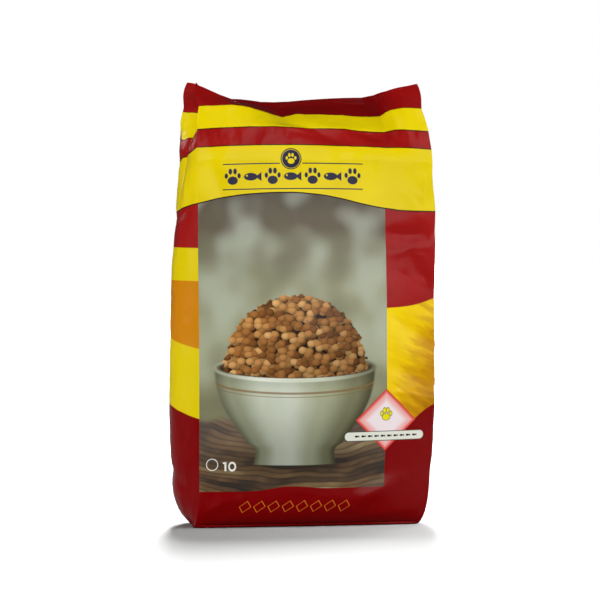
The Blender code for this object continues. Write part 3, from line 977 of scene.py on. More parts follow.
    def close_ends(self, film: bpy.types.Object, order: np.ndarray) -> None:
        """Closes the cut edge and the base, welds the back seam and turns the faces outwards.

        Args:
            film: The folded sheet.
            order: The index of the vertex at each row and column.
        """
        panel = len(self.tube.shares)
        half = panel // 2
        side = 2 * self.tube.mesh.ear_columns - 1
        ends = np.cumsum([0, half, side, panel, side, panel - half])
        shape = bmesh.new()
        shape.from_mesh(film.data)
        shape.verts.ensure_lookup_table()
        film_map = shape.loops.layers.uv.active
        for row, close in ((0, self.cut_edge_faces), (-1, self.base_faces)):
            ring = [shape.verts[index] for index in order[row]]
            flat = {vert: vert.link_loops[0][film_map].uv.copy() for vert in ring}
            left_back, left, front, right, right_back = (ring[a:b] for a, b in zip(ends, ends[1:]))
            for face in close(front, right, left_back[::-1] + right_back[::-1], left[::-1]):
                for corner in shape.faces.new(face).loops:
                    corner[film_map].uv = flat[corner.vert]
        shape.to_mesh(film.data)
        shape.free()
        bpy.ops.object.mode_set(mode="EDIT")
        bpy.ops.mesh.select_all(action="SELECT")
        bpy.ops.mesh.remove_doubles(threshold=1e-6)
        bpy.ops.mesh.normals_make_consistent(inside=False)
        bpy.ops.object.mode_set(mode="OBJECT")
        bpy.ops.object.shade_smooth_by_angle(angle=math.radians(self.sharpest_angle))

    def base_faces(self, front: list, right: list, back: list, left: list) -> list[tuple]:
        """Closes the base: the front film meets the back film, and each gusset closes on itself.

        Args:
            front: The lowest vertices of the front panel, from left to right.
            right: Those of the right gusset, from front to back.
            back: Those of the back panel, from left to right.
            left: Those of the left gusset, from front to back.

        Returns:
            The corners of each new face.
        """
        faces = [(front[i], front[i + 1], back[i + 1], back[i]) for i in range(len(front) - 1)]
        for near, far, gusset in ((front[0], back[0], left), (front[-1], back[-1], right)):
            chain = [near, *gusset, far]
            middle = len(chain) // 2
            faces += [(chain[i], chain[i + 1], chain[-2 - i], chain[-1 - i]) for i in range(middle - 1)]
            faces.append((chain[middle - 1], chain[middle], chain[middle + 1]))
        return faces

    def cut_edge_faces(self, front: list, right: list, back: list, left: list) -> list[tuple]:
        """Closes the cut edge: its middle is one sealed strip, each ear closes on its gusset.

        Args:
            front: The highest vertices of the front panel, from left to right.
            right: Those of the right gusset, from front to back.
            back: Those of the back panel, from left to right.
            left: Those of the left gusset, from front to back.

        Returns:
            The corners of each new face.
        """
        ears = self.tube.mesh.ear_columns
        faces = [
            (front[i], front[i + 1], back[i + 1], back[i]) for i in range(ears, len(front) - 1 - ears)
        ]
        for near, far, gusset in ((front, back, left), (front[::-1], back[::-1], right)):
            for panel, half in ((near, gusset), (far, gusset[::-1])):
                faces.append((panel[0], panel[1], half[0]))
                faces += [(panel[i], panel[i + 1], half[i], half[i - 1]) for i in range(1, ears)]
            faces.append((near[ears], gusset[ears - 1], far[ears]))
        return faces


Colour: TypeAlias = tuple[float, float, float, float]
Outline: TypeAlias = tuple[float, float, float, float]
Ramp: TypeAlias = tuple[tuple[float, Colour], ...]
Amount: TypeAlias = "Field | float"
Paint: TypeAlias = "Field | Colour"
WHITE: Colour = (1.0, 1.0, 1.0, 1.0)


def ink(red: int, green: int, blue: int) -> Colour:
    """A printed colour, as the shader wants it.

    Args:
        red: The red as it is seen on a screen, from 0 to 255.
        green: The green.
        blue: The blue.

    Returns:
        The colour, opaque.
    """
    parts = (value / 255.0 for value in (red, green, blue))
    linear = [part / 12.92 if part <= 0.04045 else ((part + 0.055) / 1.055) ** 2.4 for part in parts]
    return (*linear, 1.0)


@dataclass(frozen=True)
class Field:
    """A number or a colour that changes over the film, as the output of a shader node."""

    tree: bpy.types.NodeTree
    socket: bpy.types.NodeSocket

    @staticmethod
    def feed(socket: bpy.types.NodeSocket, value: "Field | float | Colour") -> None:
        """Gives a socket its value.

        Args:
            socket: The socket.
            value: Another field, or a plain value.
        """
        if isinstance(value, Field):
            value.into(socket)
        else:
            socket.default_value = value

    def into(self, socket: bpy.types.NodeSocket) -> None:
        """Links this value to a socket."""
        self.tree.links.new(self.socket, socket)

    def step(self, operation: str, *others: Paint, kind: str = "Math", output: int = 0) -> "Field":
        """One step of arithmetic on this value and the others.

        Args:
            operation: The step's name.
            others: The other values.
            kind: Math for numbers, VectorMath for vectors.
            output: Which result is wanted.

        Returns:
            The result.
        """
        node = self.tree.nodes.new(f"ShaderNode{kind}")
        node.operation = operation
        for socket, value in zip(node.inputs, (self, *others)):
            self.feed(socket, value)
        return Field(self.tree, node.outputs[output])

    def __add__(self, other: Amount) -> "Field":
        """This number and another together."""
        return self.step("ADD", other)

    def __sub__(self, other: Amount) -> "Field":
        """This number less another."""
        return self.step("SUBTRACT", other)

    def __mul__(self, other: Amount) -> "Field":
        """This number times another."""
        return self.step("MULTIPLY", other)

    def __truediv__(self, other: Amount) -> "Field":
        """This number divided by another."""
        return self.step("DIVIDE", other)

    def size(self) -> "Field":
        """This number without its sign."""
        return self.step("ABSOLUTE")

    def least(self, other: Amount) -> "Field":
        """The smaller of two numbers at each point."""
        return self.step("MINIMUM", other)

    def most(self, other: Amount) -> "Field":
        """The larger of two numbers at each point."""
        return self.step("MAXIMUM", other)

    def power(self, other: Amount) -> "Field":
        """This number raised to a power."""
        return self.step("POWER", other)

    def whole(self) -> "Field":
        """The whole number below this one."""
        return self.step("FLOOR")

    def past(self, edge: Amount, soft: float) -> "Field":
        """Goes smoothly from 0 to 1 as this number passes an edge.

        Args:
            edge: Where it is a half.
            soft: The width that it takes.

        Returns:
            The share.
        """
        node = self.tree.nodes.new("ShaderNodeMapRange")
        node.interpolation_type = "SMOOTHSTEP"
        self.feed(node.inputs["Value"], self - edge)
        node.inputs["From Min"].default_value = -soft / 2
        node.inputs["From Max"].default_value = soft / 2
        return Field(self.tree, node.outputs[0])

    def short_of(self, edge: Amount, soft: float) -> "Field":
        """Goes smoothly from 1 to 0 as this number passes an edge."""
        return self.past(edge, soft).step("MULTIPLY_ADD", -1.0, 1.0)

    def between(self, low: Amount, high: Amount, soft: float) -> "Field":
        """1 between two edges and 0 outside them."""
        return self.past(low, soft) * self.short_of(high, soft)

    def mix(self, share: Amount, first: Paint, second: Paint) -> "Field":
        """Two colours mixed.

        Args:
            share: How much there is of the second.
            first: The first colour.
            second: The second colour.

        Returns:
            The mixed colour.
        """
        node = self.tree.nodes.new("ShaderNodeMix")
        node.data_type = "RGBA"
        for name, value in (("Factor", share), ("A", first), ("B", second)):
            self.feed(node.inputs[name], value)
        return Field(self.tree, node.outputs["Result"])

    def covered(self, over: Paint, share: Amount) -> "Field":
        """This colour with another over it, where the share is 1."""
        return self.mix(share, self, over)

    def colours(self, low: Colour, high: Colour) -> "Field":
        """The first colour where this number is 0 and the second where it is 1."""
        return self.mix(self, low, high)

    def shaded(self, amount: Amount) -> "Field":
        """This colour made darker or lighter.

        Args:
            amount: The number round 1 that multiplies it.

        Returns:
            The shaded colour.
        """
        node = self.tree.nodes.new("ShaderNodeVectorMath")
        node.operation = "SCALE"
        self.feed(node.inputs["Vector"], self)
        self.feed(node.inputs["Scale"], amount)
        return Field(self.tree, node.outputs[0])

    def ramp(self, *stops: tuple[float, Colour]) -> "Field":
        """A run of colours along this number.

        Args:
            stops: Numbers in rising order, each with its colour.

        Returns:
            The colour.
        """
        first, last = stops[0][0], stops[-1][0]
        node = self.tree.nodes.new("ShaderNodeValToRGB")
        node.color_ramp.interpolation = "EASE"
        elements = node.color_ramp.elements
        while len(elements) < len(stops):
            elements.new(0.5)
        for element, (place, colour) in zip(elements, stops):
            element.position = (place - first) / (last - first)
            element.color = colour
        self.feed(node.inputs[0], (self - first) / (last - first))
        return Field(self.tree, node.outputs[0])

    def line_through(self, *stops: Pair) -> "Field":
        """A smooth curve along this number.

        Args:
            stops: The points it goes through, in millimetres.

        Returns:
            The curve's value.
        """
        places, values = zip(*stops)
        first, width = places[0], places[-1] - places[0]
        low, rise = min(values), max(values) - min(values)
        node = self.tree.nodes.new("ShaderNodeFloatCurve")
        curve = node.mapping.curves[0]
        while len(curve.points) < len(stops):
            curve.points.new(0.5, 0.5)
        for point, place, value in zip(curve.points, places, values):
            point.location = ((place - first) / width, (value - low) / rise)
            point.handle_type = "AUTO_CLAMPED"
        node.mapping.update()
        self.feed(node.inputs["Value"], ((self - first) / width).most(0.0).least(1.0))
        return Field(self.tree, node.outputs[0]) * rise + low


@dataclass(frozen=True)
class Place:
    """Where a point of the film lies: millimetres across it and down it."""

    across: Field
    down: Field

    @staticmethod
    def read(tree: bpy.types.NodeTree, vector: bpy.types.NodeSocket, scale: float = 1.0) -> "Place":
        """Reads a place from the first two parts of a vector.

        Args:
            tree: The node tree.
            vector: The vector's socket.
            scale: What both parts are multiplied by.

        Returns:
            The place.
        """
        split = tree.nodes.new("ShaderNodeSeparateXYZ")
        tree.links.new(vector, split.inputs[0])
        return Place(Field(tree, split.outputs["X"]) * scale, Field(tree, split.outputs["Y"]) * scale)

    def through(self, group: bpy.types.NodeTree) -> bpy.types.Node:
        """Adds a node group that reads this place.

        Args:
            group: The group.

        Returns:
            The group's node.
        """
        node = self.across.tree.nodes.new("ShaderNodeGroup")
        node.node_tree = group
        self.across.into(node.inputs["Across"])
        self.down.into(node.inputs["Down"])
        return node

    def moved(self, across: float, down: float) -> "Place":
        """The same place counted from another point."""
        return Place(self.across - across, self.down - down)

    def scaled(self, across: float, down: float) -> "Place":
        """The same place counted in other units."""
        return Place(self.across / across, self.down / down)

    def turned(self, straight: float, slant: float) -> "Place":
        """The same place counted along slanted lines and across them."""
        along = self.across * straight + self.down * slant
        return Place(along, self.down * straight - self.across * slant)

    def point(self) -> Field:
        """The place as one vector.

        Returns:
            The vector, its third part 0.
        """
        node = self.across.tree.nodes.new("ShaderNodeCombineXYZ")
        self.across.into(node.inputs["X"])
        self.down.into(node.inputs["Y"])
        return Field(self.across.tree, node.outputs[0])

    def cloud(self, across: float, down: float, detail: float = 2.0, seed: float = 0.0) -> Field:
        """Soft random patches.

        Args:
            across: Their size across.
            down: Their size down.
            detail: How much finer detail they have.
            seed: Sets them apart from other patches.

        Returns:
            A number from 0 to 1.
        """
        node = self.across.tree.nodes.new("ShaderNodeTexNoise")
        node.inputs["Scale"].default_value = 1.0
        node.inputs["Detail"].default_value = detail
        self.moved(seed, 2.0 * seed).scaled(across, down).point().into(node.inputs["Vector"])
        return Field(self.across.tree, node.outputs[0])

    def drift(self, across: float, down: float, detail: float = 1.0, seed: float = 0.0) -> Field:
        """The same patches counted from their middle value, so that they go either way."""
        return self.cloud(across, down, detail=detail, seed=seed) - 0.5

    def mottled(self, across: float, down: float, seed: float, first: Colour, second: Colour) -> Field:
        """Two close colours in soft patches of about the given size."""
        return self.cloud(across, down, detail=1.0, seed=seed).ramp((0.35, first), (0.65, second))

    def in_row(self, first: float, last: float, count: int) -> tuple["Place", Field]:
        """The place within one of a row of equal cells.

        Args:
            first: Where the row starts.
            last: Where it ends.
            count: How many cells it has.

        Returns:
            The place from the cell's middle, and the cell's number.
        """
        pitch = (last - first) / count
        cells = (self.across - first) / pitch
        cell = cells.whole()
        return Place((cells - cell - 0.5) * pitch, self.down), cell

    def from_centre(self) -> Field:
        """The distance from the place's own centre."""
        return self.point().step("LENGTH", kind="VectorMath", output=1)

    def oval(self, across: float, down: float, half_width: float, half_height: float) -> Field:
        """The distance from an oval's outline: less than 0 inside it."""
        short = min(half_width, half_height)
        return (self.moved(across, down).scaled(half_width, half_height).from_centre() - 1.0) * short

    def bar(self, across: float, down: float, half_width: float, half_height: float) -> Field:
        """The distance from an upright bar's outline: less than 0 inside it."""
        spot = self.moved(across, down)
        return (spot.across.size() - half_width).most(spot.down.size() - half_height)


def start_group(name: str, **outputs: str) -> tuple[Place, bpy.types.Node]:
    """Starts a node group that reads a place on the film.

    Args:
        name: The group's name.
        outputs: The kind of each output, by its name.

    Returns:
        The place it reads, and the node that takes its outputs.
    """
    tree = bpy.data.node_groups.new(name, "ShaderNodeTree")
    for label in ("Across", "Down"):
        tree.interface.new_socket(label, in_out="INPUT", socket_type="NodeSocketFloat")
    for label, kind in outputs.items():
        tree.interface.new_socket(label, in_out="OUTPUT", socket_type=f"NodeSocket{kind}")
    inside = tree.nodes.new("NodeGroupInput")
    place = Place(Field(tree, inside.outputs["Across"]), Field(tree, inside.outputs["Down"]))
    return place, tree.nodes.new("NodeGroupOutput")


@dataclass(frozen=True)
class Motif:
    """A small printed shape, kept once as a node group that gives the distance from its outline."""

    name: str
    ovals: tuple[Outline, ...]
    mirrored: bool = False
    tail: Triple | None = None

    def group(self) -> bpy.types.NodeTree:
        """Builds the group: the shape is about two units tall round its own centre.

        Returns:
            The group.
        """
        place, out = start_group(self.name, Distance="Float")
        across, down = place.across, place.down
        if self.mirrored:
            place = Place(across.size(), down)
        shape = place.oval(*self.ovals[0])
        for oval in self.ovals[1:]:
            shape = shape.least(place.oval(*oval))
        if self.tail:
            start, end, spread = self.tail
            wedge = (down.size() - (across - start) * spread).most(across - end)
            shape = shape.least(wedge.most(across * -1.0 + start))
        shape.into(out.inputs["Distance"])
        return shape.tree

    def on(self, place: Place, unit: float) -> Field:
        """The shape on the film.

        Args:
            place: The place from the middle of the shape.
            unit: Half its height, in millimetres.

        Returns:
            The distance from its outline, less than 0 inside it.
        """
        group = bpy.data.node_groups.get(self.name) or self.group()
        node = place.scaled(unit, unit).through(group)
        return Field(place.across.tree, node.outputs["Distance"]) * unit


PAW = Motif(
    "paw_mark",
    ((0.0, 0.38, 0.58, 0.46), (0.27, -0.62, 0.21, 0.33), (0.72, -0.14, 0.19, 0.29)),
    mirrored=True,
)
FISH = Motif("fish_mark", ((-0.22, 0.0, 0.78, 0.42),), tail=(0.30, 1.0, 0.72))


@dataclass(frozen=True)
class PrintColours:
    """The colours of the printed film; the fin's two reds and the low red are darker or lighter copies of
    one red that paint shade and light.
    """

    # The fin's red is one ink painted as two: its middle darker as painted shade, its ends lighter as
    # painted light.
    fin_red_painted_shade: Colour = ink(116, 5, 6)
    fin_red_painted_light: Colour = ink(150, 14, 13)
    band_red: Colour = ink(158, 22, 20)
    band_red_patch: Colour = ink(150, 14, 14)
    side_red: Colour = ink(160, 24, 22)
    left_red_patch: Colour = ink(148, 16, 15)
    right_red_patch: Colour = ink(150, 18, 17)
    # The low red is a darker copy of the sides' red: painted shade of the lower body, which faces down.
    low_red_painted_shade: Colour = ink(124, 2, 4)
    title_yellow: Colour = ink(232, 208, 2)
    title_yellow_patch: Colour = ink(226, 200, 2)
    side_yellow: Colour = ink(224, 200, 2)
    orange: Colour = ink(206, 130, 4)
    gold: Ramp = (
        (105.0, ink(246, 212, 8)),
        (150.0, ink(240, 200, 4)),
        (180.0, ink(216, 164, 2)),
        (204.0, ink(196, 138, 2)),
        (236.0, ink(174, 114, 2)),
    )
    gold_fold: Colour = ink(216, 138, 6)
    pin_line: Colour = ink(46, 18, 8)
    navy: Colour = ink(42, 40, 62)
    outline_orange: Colour = ink(222, 122, 34)
    banner: Colour = ink(226, 227, 214)
    banner_line: Colour = ink(52, 58, 46)
    banner_mark: Colour = ink(30, 28, 26)
    white: Colour = ink(236, 234, 226)
    diamond: Ramp = (
        (0.0, ink(240, 226, 228)),
        (0.52, ink(240, 226, 228)),
        (0.80, ink(236, 176, 172)),
        (0.95, ink(222, 84, 76)),
        (1.0, ink(176, 26, 26)),
    )
    diamond_mark: Colour = ink(232, 222, 20)
    diamond_mark_line: Colour = ink(150, 138, 60)


@dataclass(frozen=True)
class PrintLayout:
    """Where the printed fields lie on the flat film, in millimetres across and down it."""

    crease: float = 175.5
    back_corner: float = 303.5
    # How far from the middle the fin keeps its painted shade, and the width over which it turns to the
    # painted light of its ends.
    fin_painted_shade_reach: float = 120.0
    fin_painted_shade_fades_over: float = 50.0
    fin_ends: Stations = (
        (-345.0, 41.0), (-303.0, 49.0), (-281.0, 46.4), (-250.0, 46.0), (-201.0, 43.0),
        (-177.0, 41.0),
    )
    shoulder_ends: Stations = (
        (-304.0, 76.5), (-291.0, 85.0), (-276.0, 92.0), (-255.0, 88.0), (-201.0, 85.5),
        (-186.0, 81.0), (-177.0, 76.5),
    )
    band_ends: Stations = (
        (-304.0, 103.0), (-291.0, 114.0), (-276.0, 124.0), (-255.0, 119.0), (-212.0, 114.0),
        (-192.0, 109.6), (-177.0, 103.0),
    )
    edge: float = 0.7
    pin_line: float = 1.5
    fin_line: float = 0.8
    title_foot_line: float = 1.8
    line_edge: float = 0.6
    title_foot: Stations = (
        (-304.0, 203.0), (-256.0, 197.0), (-211.0, 189.6), (-176.8, 184.2), (-127.7, 175.6),
        (-80.6, 171.9), (-46.7, 171.3), (-6.8, 173.5), (33.0, 179.4), (71.3, 187.6),
        (104.0, 192.7), (138.2, 195.1), (172.6, 194.7), (256.0, 198.0), (304.0, 203.0),
    )
    side_red_ends: float = 247.8
    side_yellow_ends: float = 295.0
    orange_ends: Stations = ((-304.0, 364.0), (-248.0, 376.0), (-175.5, 392.4))
    low_yellow_ends: Stations = ((-304.0, 452.0), (-236.0, 473.4), (-175.5, 493.0))
    right_red_ends: Stations = (
        (98.0, 335.3), (122.0, 334.2), (144.3, 331.2), (173.7, 322.7), (240.0, 306.0),
        (304.0, 306.0),
    )
    gold_ends: Stations = (
        (98.0, 542.5), (122.0, 518.5), (146.7, 493.9), (173.8, 475.7), (240.0, 452.0),
        (304.0, 452.0),
    )
    gold_shade_from: float = 340.0
    gold_shade_slope: float = 0.42
    # The slanted streaks of darker gold are painted shade of wrinkles.
    gold_slant: Pair = (0.92, 0.38)
    gold_painted_wrinkle_shade: Pair = (34.0, 8.5)
    gold_painted_wrinkle_shade_reach: float = 84.0
    picture_right: float = 100.3
    picture_foot: Stations = (
        (-176.5, 597.4), (-109.4, 597.0), (-67.6, 593.1), (-40.1, 590.4), (17.3, 593.5),
        (101.0, 592.3),
    )
    rules: Pair = (130.0, 166.0)
    rule_half: float = 0.8
    title_left: float = -139.0
    title_right: float = 67.5
    emblem: Pair = (-38.0, 123.6)
    emblem_size: float = 15.4
    emblem_clear: float = 2.4
    emblem_ring_in: float = 1.9
    emblem_ring_half: float = 0.35
    emblem_mark: float = 0.56
    title_marks: int = 7
    title_mark_size: float = 13.0
    title_mark_drop: float = 0.5
    title_marks_half: float = 16.0
    fish_eye: Outline = (-8.6, -1.5, 1.3, 1.3)
    diamond: Pair = (99.4, 496.8)
    diamond_half: Pair = (47.0, 44.8)
    diamond_mark: Pair = (99.4, 488.8)
    diamond_mark_size: float = 9.5
    banner_left: float = 36.5
    banner_right: float = 160.0
    banner_middle: float = 520.3
    banner_rise: float = -0.0121
    banner_half: float = 6.6
    banner_margins: Pair = (14.0, 10.0)
    banner_marks: int = 10
    banner_mark_size: float = 3.5
    ring: Pair = (-157.0, 558.6)
    ring_size: float = 8.2
    ring_half: float = 0.55
    figures: Pair = (-131.5, 561.2)
    one_stem: Outline = (-6.2, 0.0, 1.35, 6.4)
    one_flag: Outline = (-8.0, -5.0, 1.9, 1.2)
    naught: Outline = (3.6, 0.0, 4.6, 5.6)
    naught_half: float = 1.15
    low_marks: Pair = (-118.0, 52.0)
    low_marks_middle: float = 619.0
    low_marks_count: int = 8
    low_marks_slant: float = 0.35
    low_mark_half: Pair = (8.6, 8.0)
    low_mark_slope: float = 0.75
    low_mark_line: float = 0.8
    low_marks_half: float = 12.0


@dataclass(frozen=True)
class PictureColours:
    """The colours of the printed picture, and the runs of colour that a number picks from."""

    wall: Ramp = (
        (165.0, ink(80, 72, 62)),
        (212.0, ink(100, 90, 76)),
        (250.0, ink(126, 124, 102)),
        (310.0, ink(150, 151, 122)),
        (400.0, ink(160, 163, 134)),
        (500.0, ink(128, 126, 94)),
    )
    wall_light: Colour = ink(192, 200, 182)
    wall_shade: Colour = ink(100, 98, 76)
    straw: Ramp = (
        (0.30, ink(42, 30, 20)),
        (0.44, ink(82, 58, 36)),
        (0.56, ink(122, 92, 56)),
        (0.68, ink(156, 130, 86)),
        (0.76, ink(184, 164, 120)),
    )
    straw_haze: Ramp = ((492.0, ink(190, 190, 190)), (610.0, ink(120, 112, 104)))
    glaze: Ramp = (
        (-1.0, ink(108, 110, 86)),
        (-0.82, ink(150, 154, 126)),
        (-0.42, ink(200, 206, 186)),
        (-0.12, ink(206, 212, 194)),
        (0.35, ink(168, 172, 142)),
        (0.78, ink(122, 122, 92)),
        (1.0, ink(78, 76, 54)),
    )
    glaze_line: Colour = ink(132, 100, 60)
    rim: Ramp = (
        (-1.0, ink(160, 164, 140)),
        (-0.4, ink(226, 230, 214)),
        (0.2, ink(206, 210, 188)),
        (1.0, ink(120, 122, 96)),
    )
    hollow: Colour = ink(58, 44, 32)
    crumb: Ramp = (
        (0.0, ink(112, 70, 34)),
        (0.35, ink(150, 98, 50)),
        (0.7, ink(178, 126, 70)),
        (1.0, ink(202, 156, 98)),
    )
    between_crumbs: Colour = ink(38, 22, 12)


@dataclass(frozen=True)
class StillLife:
    """The printed picture: a pale bowl heaped with kibble on a straw mat, in millimetres."""

    colours: PictureColours = PictureColours()
    middle: float = -36.0
    wall_drift: float = 40.0
    rim_down: float = 420.0
    rim_half: Pair = (118.0, 19.0)
    bowl_side: Stations = (
        (0.0, 0.0), (26.0, -3.0), (56.0, -13.0), (84.0, -31.0), (107.0, -48.0), (121.0, -60.0),
        (141.0, -57.0),
    )
    glaze_lines: tuple[Triple, ...] = ((18.0, 1.6, 0.75), (23.5, 0.7, 0.6))
    foot_down: float = 549.0
    foot_bow: float = 11.0
    heap_half: Pair = (104.0, 104.0)
    heap_rough: float = 16.0
    heap_layers: Stations = ((31.0, 0.42), (57.0, 0.72), (0.0, 1.0))
    kibble: Pair = (12.5, 10.5)
    towards_light: Triple = (-0.62, -0.78, 0.0)
    mat_from: float = 492.0
    mat_rough: float = 20.0
    straw: Pair = (120.0, 7.0)
    straw_sway: float = 26.0
    straw_bend: float = 0.0009
    fibre: Pair = (26.0, 0.9)
    bowl_shadow: Outline = (6.0, 553.0, 104.0, 22.0)

    def group(self) -> bpy.types.NodeTree:
        """Builds the picture as a node group.

        Returns:
            The group.
        """
        place, out = start_group("still_life", Colour="Color")
        place = place.moved(self.middle, 0.0)
        picture = self.backdrop(place)
        for part in (self.straw_mat, self.bowl, self.heap):
            picture = part(place, picture)
        picture.into(out.inputs["Colour"])
        return picture.tree

    def backdrop(self, place: Place) -> Field:
        """A wall out of focus, taupe above and pale sage below, with soft light on it.

        Args:
            place: The place from the picture's middle.

        Returns:
            The wall's colour.
        """
        drift = place.drift(70.0, 45.0, seed=3.0) * self.wall_drift
        wall = (place.down + drift).ramp(*self.colours.wall)
        patch = place.cloud(72.0, 84.0, detail=1.0, seed=11.0)
        wall = wall.covered(self.colours.wall_light, patch.past(0.56, 0.26) * 0.5)
        return wall.covered(self.colours.wall_shade, patch.short_of(0.42, 0.20) * 0.45)

    def straw_mat(self, place: Place, under: Field) -> Field:
        """Plaited straw under the bowl: long bent strands with dark gaps between them.

        Args:
            place: The place from the picture's middle.
            under: The colours behind it.

        Returns:
            The colours with the mat.
        """
        across, down = place.across, place.down
        length, width = self.straw
        sway = place.drift(90.0, 60.0, seed=5.0) * self.straw_sway
        bent = down + across * across * self.straw_bend + sway
        strand = (bent / width).whole()
        within = (bent / width - strand - 0.5).size() * 2.0
        tone = Place(across / length, strand * 0.37).cloud(1.0, 1.0, detail=3.0, seed=7.0)
        fibre = Place(across, bent).scaled(*self.fibre).cloud(1.0, 1.0, seed=2.0)
        gaps = within.power(3.0) * -0.62 + 1.0
        straw = tone.ramp(*self.colours.straw).shaded((fibre * 0.5 + 0.75) * gaps)
        straw = straw.covered(down.ramp(*self.colours.straw_haze), 0.12)
        edge = down + place.drift(36.0, 22.0, detail=2.0, seed=9.0) * self.mat_rough
        shadow = place.oval(*self.bowl_shadow).short_of(0.0, 40.0)
        straw = straw.shaded(shadow * -0.55 + 0.85)
        return under.covered(straw, edge.past(self.mat_from, 16.0))

    def bowl(self, place: Place, under: Field) -> Field:
        """The glazed bowl, lit from the upper left.

        Args:
            place: The place from the picture's middle.
            under: The colours behind it.

        Returns:
            The colours with the bowl.
        """
        down = place.down
        rim_across, rim_tall = self.rim_half
        side = ((self.rim_down + fall, rim_across + out) for fall, out in self.bowl_side)
        round_it = place.across / down.line_through(*side)
        patch = place.cloud(30.0, 46.0, detail=3.0, seed=21.0)
        glaze = round_it.ramp(*self.colours.glaze).shaded(patch * 0.22 + 0.89)
        glaze = glaze.shaded(down.past(self.foot_down - 50.0, 110.0) * -0.42 + 1.0)
        bow = (place.across / rim_across).power(2.0) * -1.0 + 1.0
        bow = bow.most(0.0).power(0.5)
        foot = down - self.foot_down - bow * self.foot_bow
        lip = down - self.rim_down - bow * rim_tall
        for low, thick, strength in self.glaze_lines:
            ring = (lip - low).size().short_of(thick, 1.2)
            glaze = glaze.covered(self.colours.glaze_line, ring * strength)
        glaze = glaze.shaded(lip.short_of(9.0, 12.0) * -0.16 + 1.0)
        inside = (round_it.size() - 1.0) * 40.0
        shape = inside.most(foot).most(down * -1.0 + self.rim_down)
        body = under.covered(glaze, shape.short_of(0.0, 1.6))
        rim = place.oval(0.0, self.rim_down, rim_across + 1.5, rim_tall + 2.0)
        body = body.covered(round_it.ramp(*self.colours.rim), rim.short_of(0.0, 1.4))
        hollow = place.oval(0.0, self.rim_down - 0.5, rim_across - 4.0, rim_tall - 3.4)
        return body.covered(self.colours.hollow, hollow.short_of(0.0, 1.6))

    def crumbs(self, place: Place, under: Paint, seed: float, level: float) -> Field:
        """One layer of round crumbs over another: each has its own tone and is lit from the upper left.

        Args:
            place: The place on the picture.
            under: What shows between the crumbs.
            seed: Sets this layer's crumbs apart from another's.
            level: How bright the layer is.

        Returns:
            The layer's colour.
        """
        tree = place.across.tree
        spot = place.moved(seed, seed).scaled(*self.kibble).point()
        cells = tree.nodes.new("ShaderNodeTexVoronoi")
        cells.voronoi_dimensions = "2D"
        cells.inputs["Scale"].default_value = 1.0
        cells.inputs["Randomness"].default_value = 0.8
        spot.into(cells.inputs["Vector"])
        split = tree.nodes.new("ShaderNodeSeparateColor")
        tree.links.new(cells.outputs["Color"], split.inputs[0])
        tone = Field(tree, split.outputs[0]).ramp(*self.colours.crumb)
        shift = spot.step("SUBTRACT", Field(tree, cells.outputs["Position"]), kind="VectorMath")
        lit = shift.step("DOT_PRODUCT", self.towards_light, kind="VectorMath", output=1)
        away = Field(tree, cells.outputs["Distance"])
        light = lit * 0.62 + (away.power(2.0) * -1.7 + 1.06)
        grain = place.cloud(2.2, 2.2, seed=seed) * 0.34 + 0.83
        crumb = tone.shaded(light * grain * level)
        edge = away + place.drift(7.0, 7.0, seed=seed + 5.0) * 0.22
        return crumb.covered(under, edge.past(0.50, 0.07))

    def heap(self, place: Place, under: Field) -> Field:
        """The kibble heaped in the bowl, darker towards the lower right.

        Args:
            place: The place from the picture's middle.
            under: The colours behind it.

        Returns:
            The colours with the heap.
        """
        crumb = self.colours.between_crumbs
        for seed, level in self.heap_layers:
            crumb = self.crumbs(place, crumb, seed, level)
        mound = (place.across * 0.0026 + (place.down - self.rim_down) * 0.0022) * -1.0 + 0.92
        crumb = crumb.shaded(mound)
        across, tall = self.heap_half
        rough = place.drift(9.0, 8.0, detail=2.0, seed=14.0) * self.heap_rough
        dome = place.oval(0.0, self.rim_down, across, tall) + rough
        front = place.oval(0.0, self.rim_down, across + 4.0, self.rim_half[1] - 5.0) + rough * 0.3
        heap = dome.most(place.down - self.rim_down).least(front)
        return under.covered(crumb, heap.short_of(0.0, 1.6))


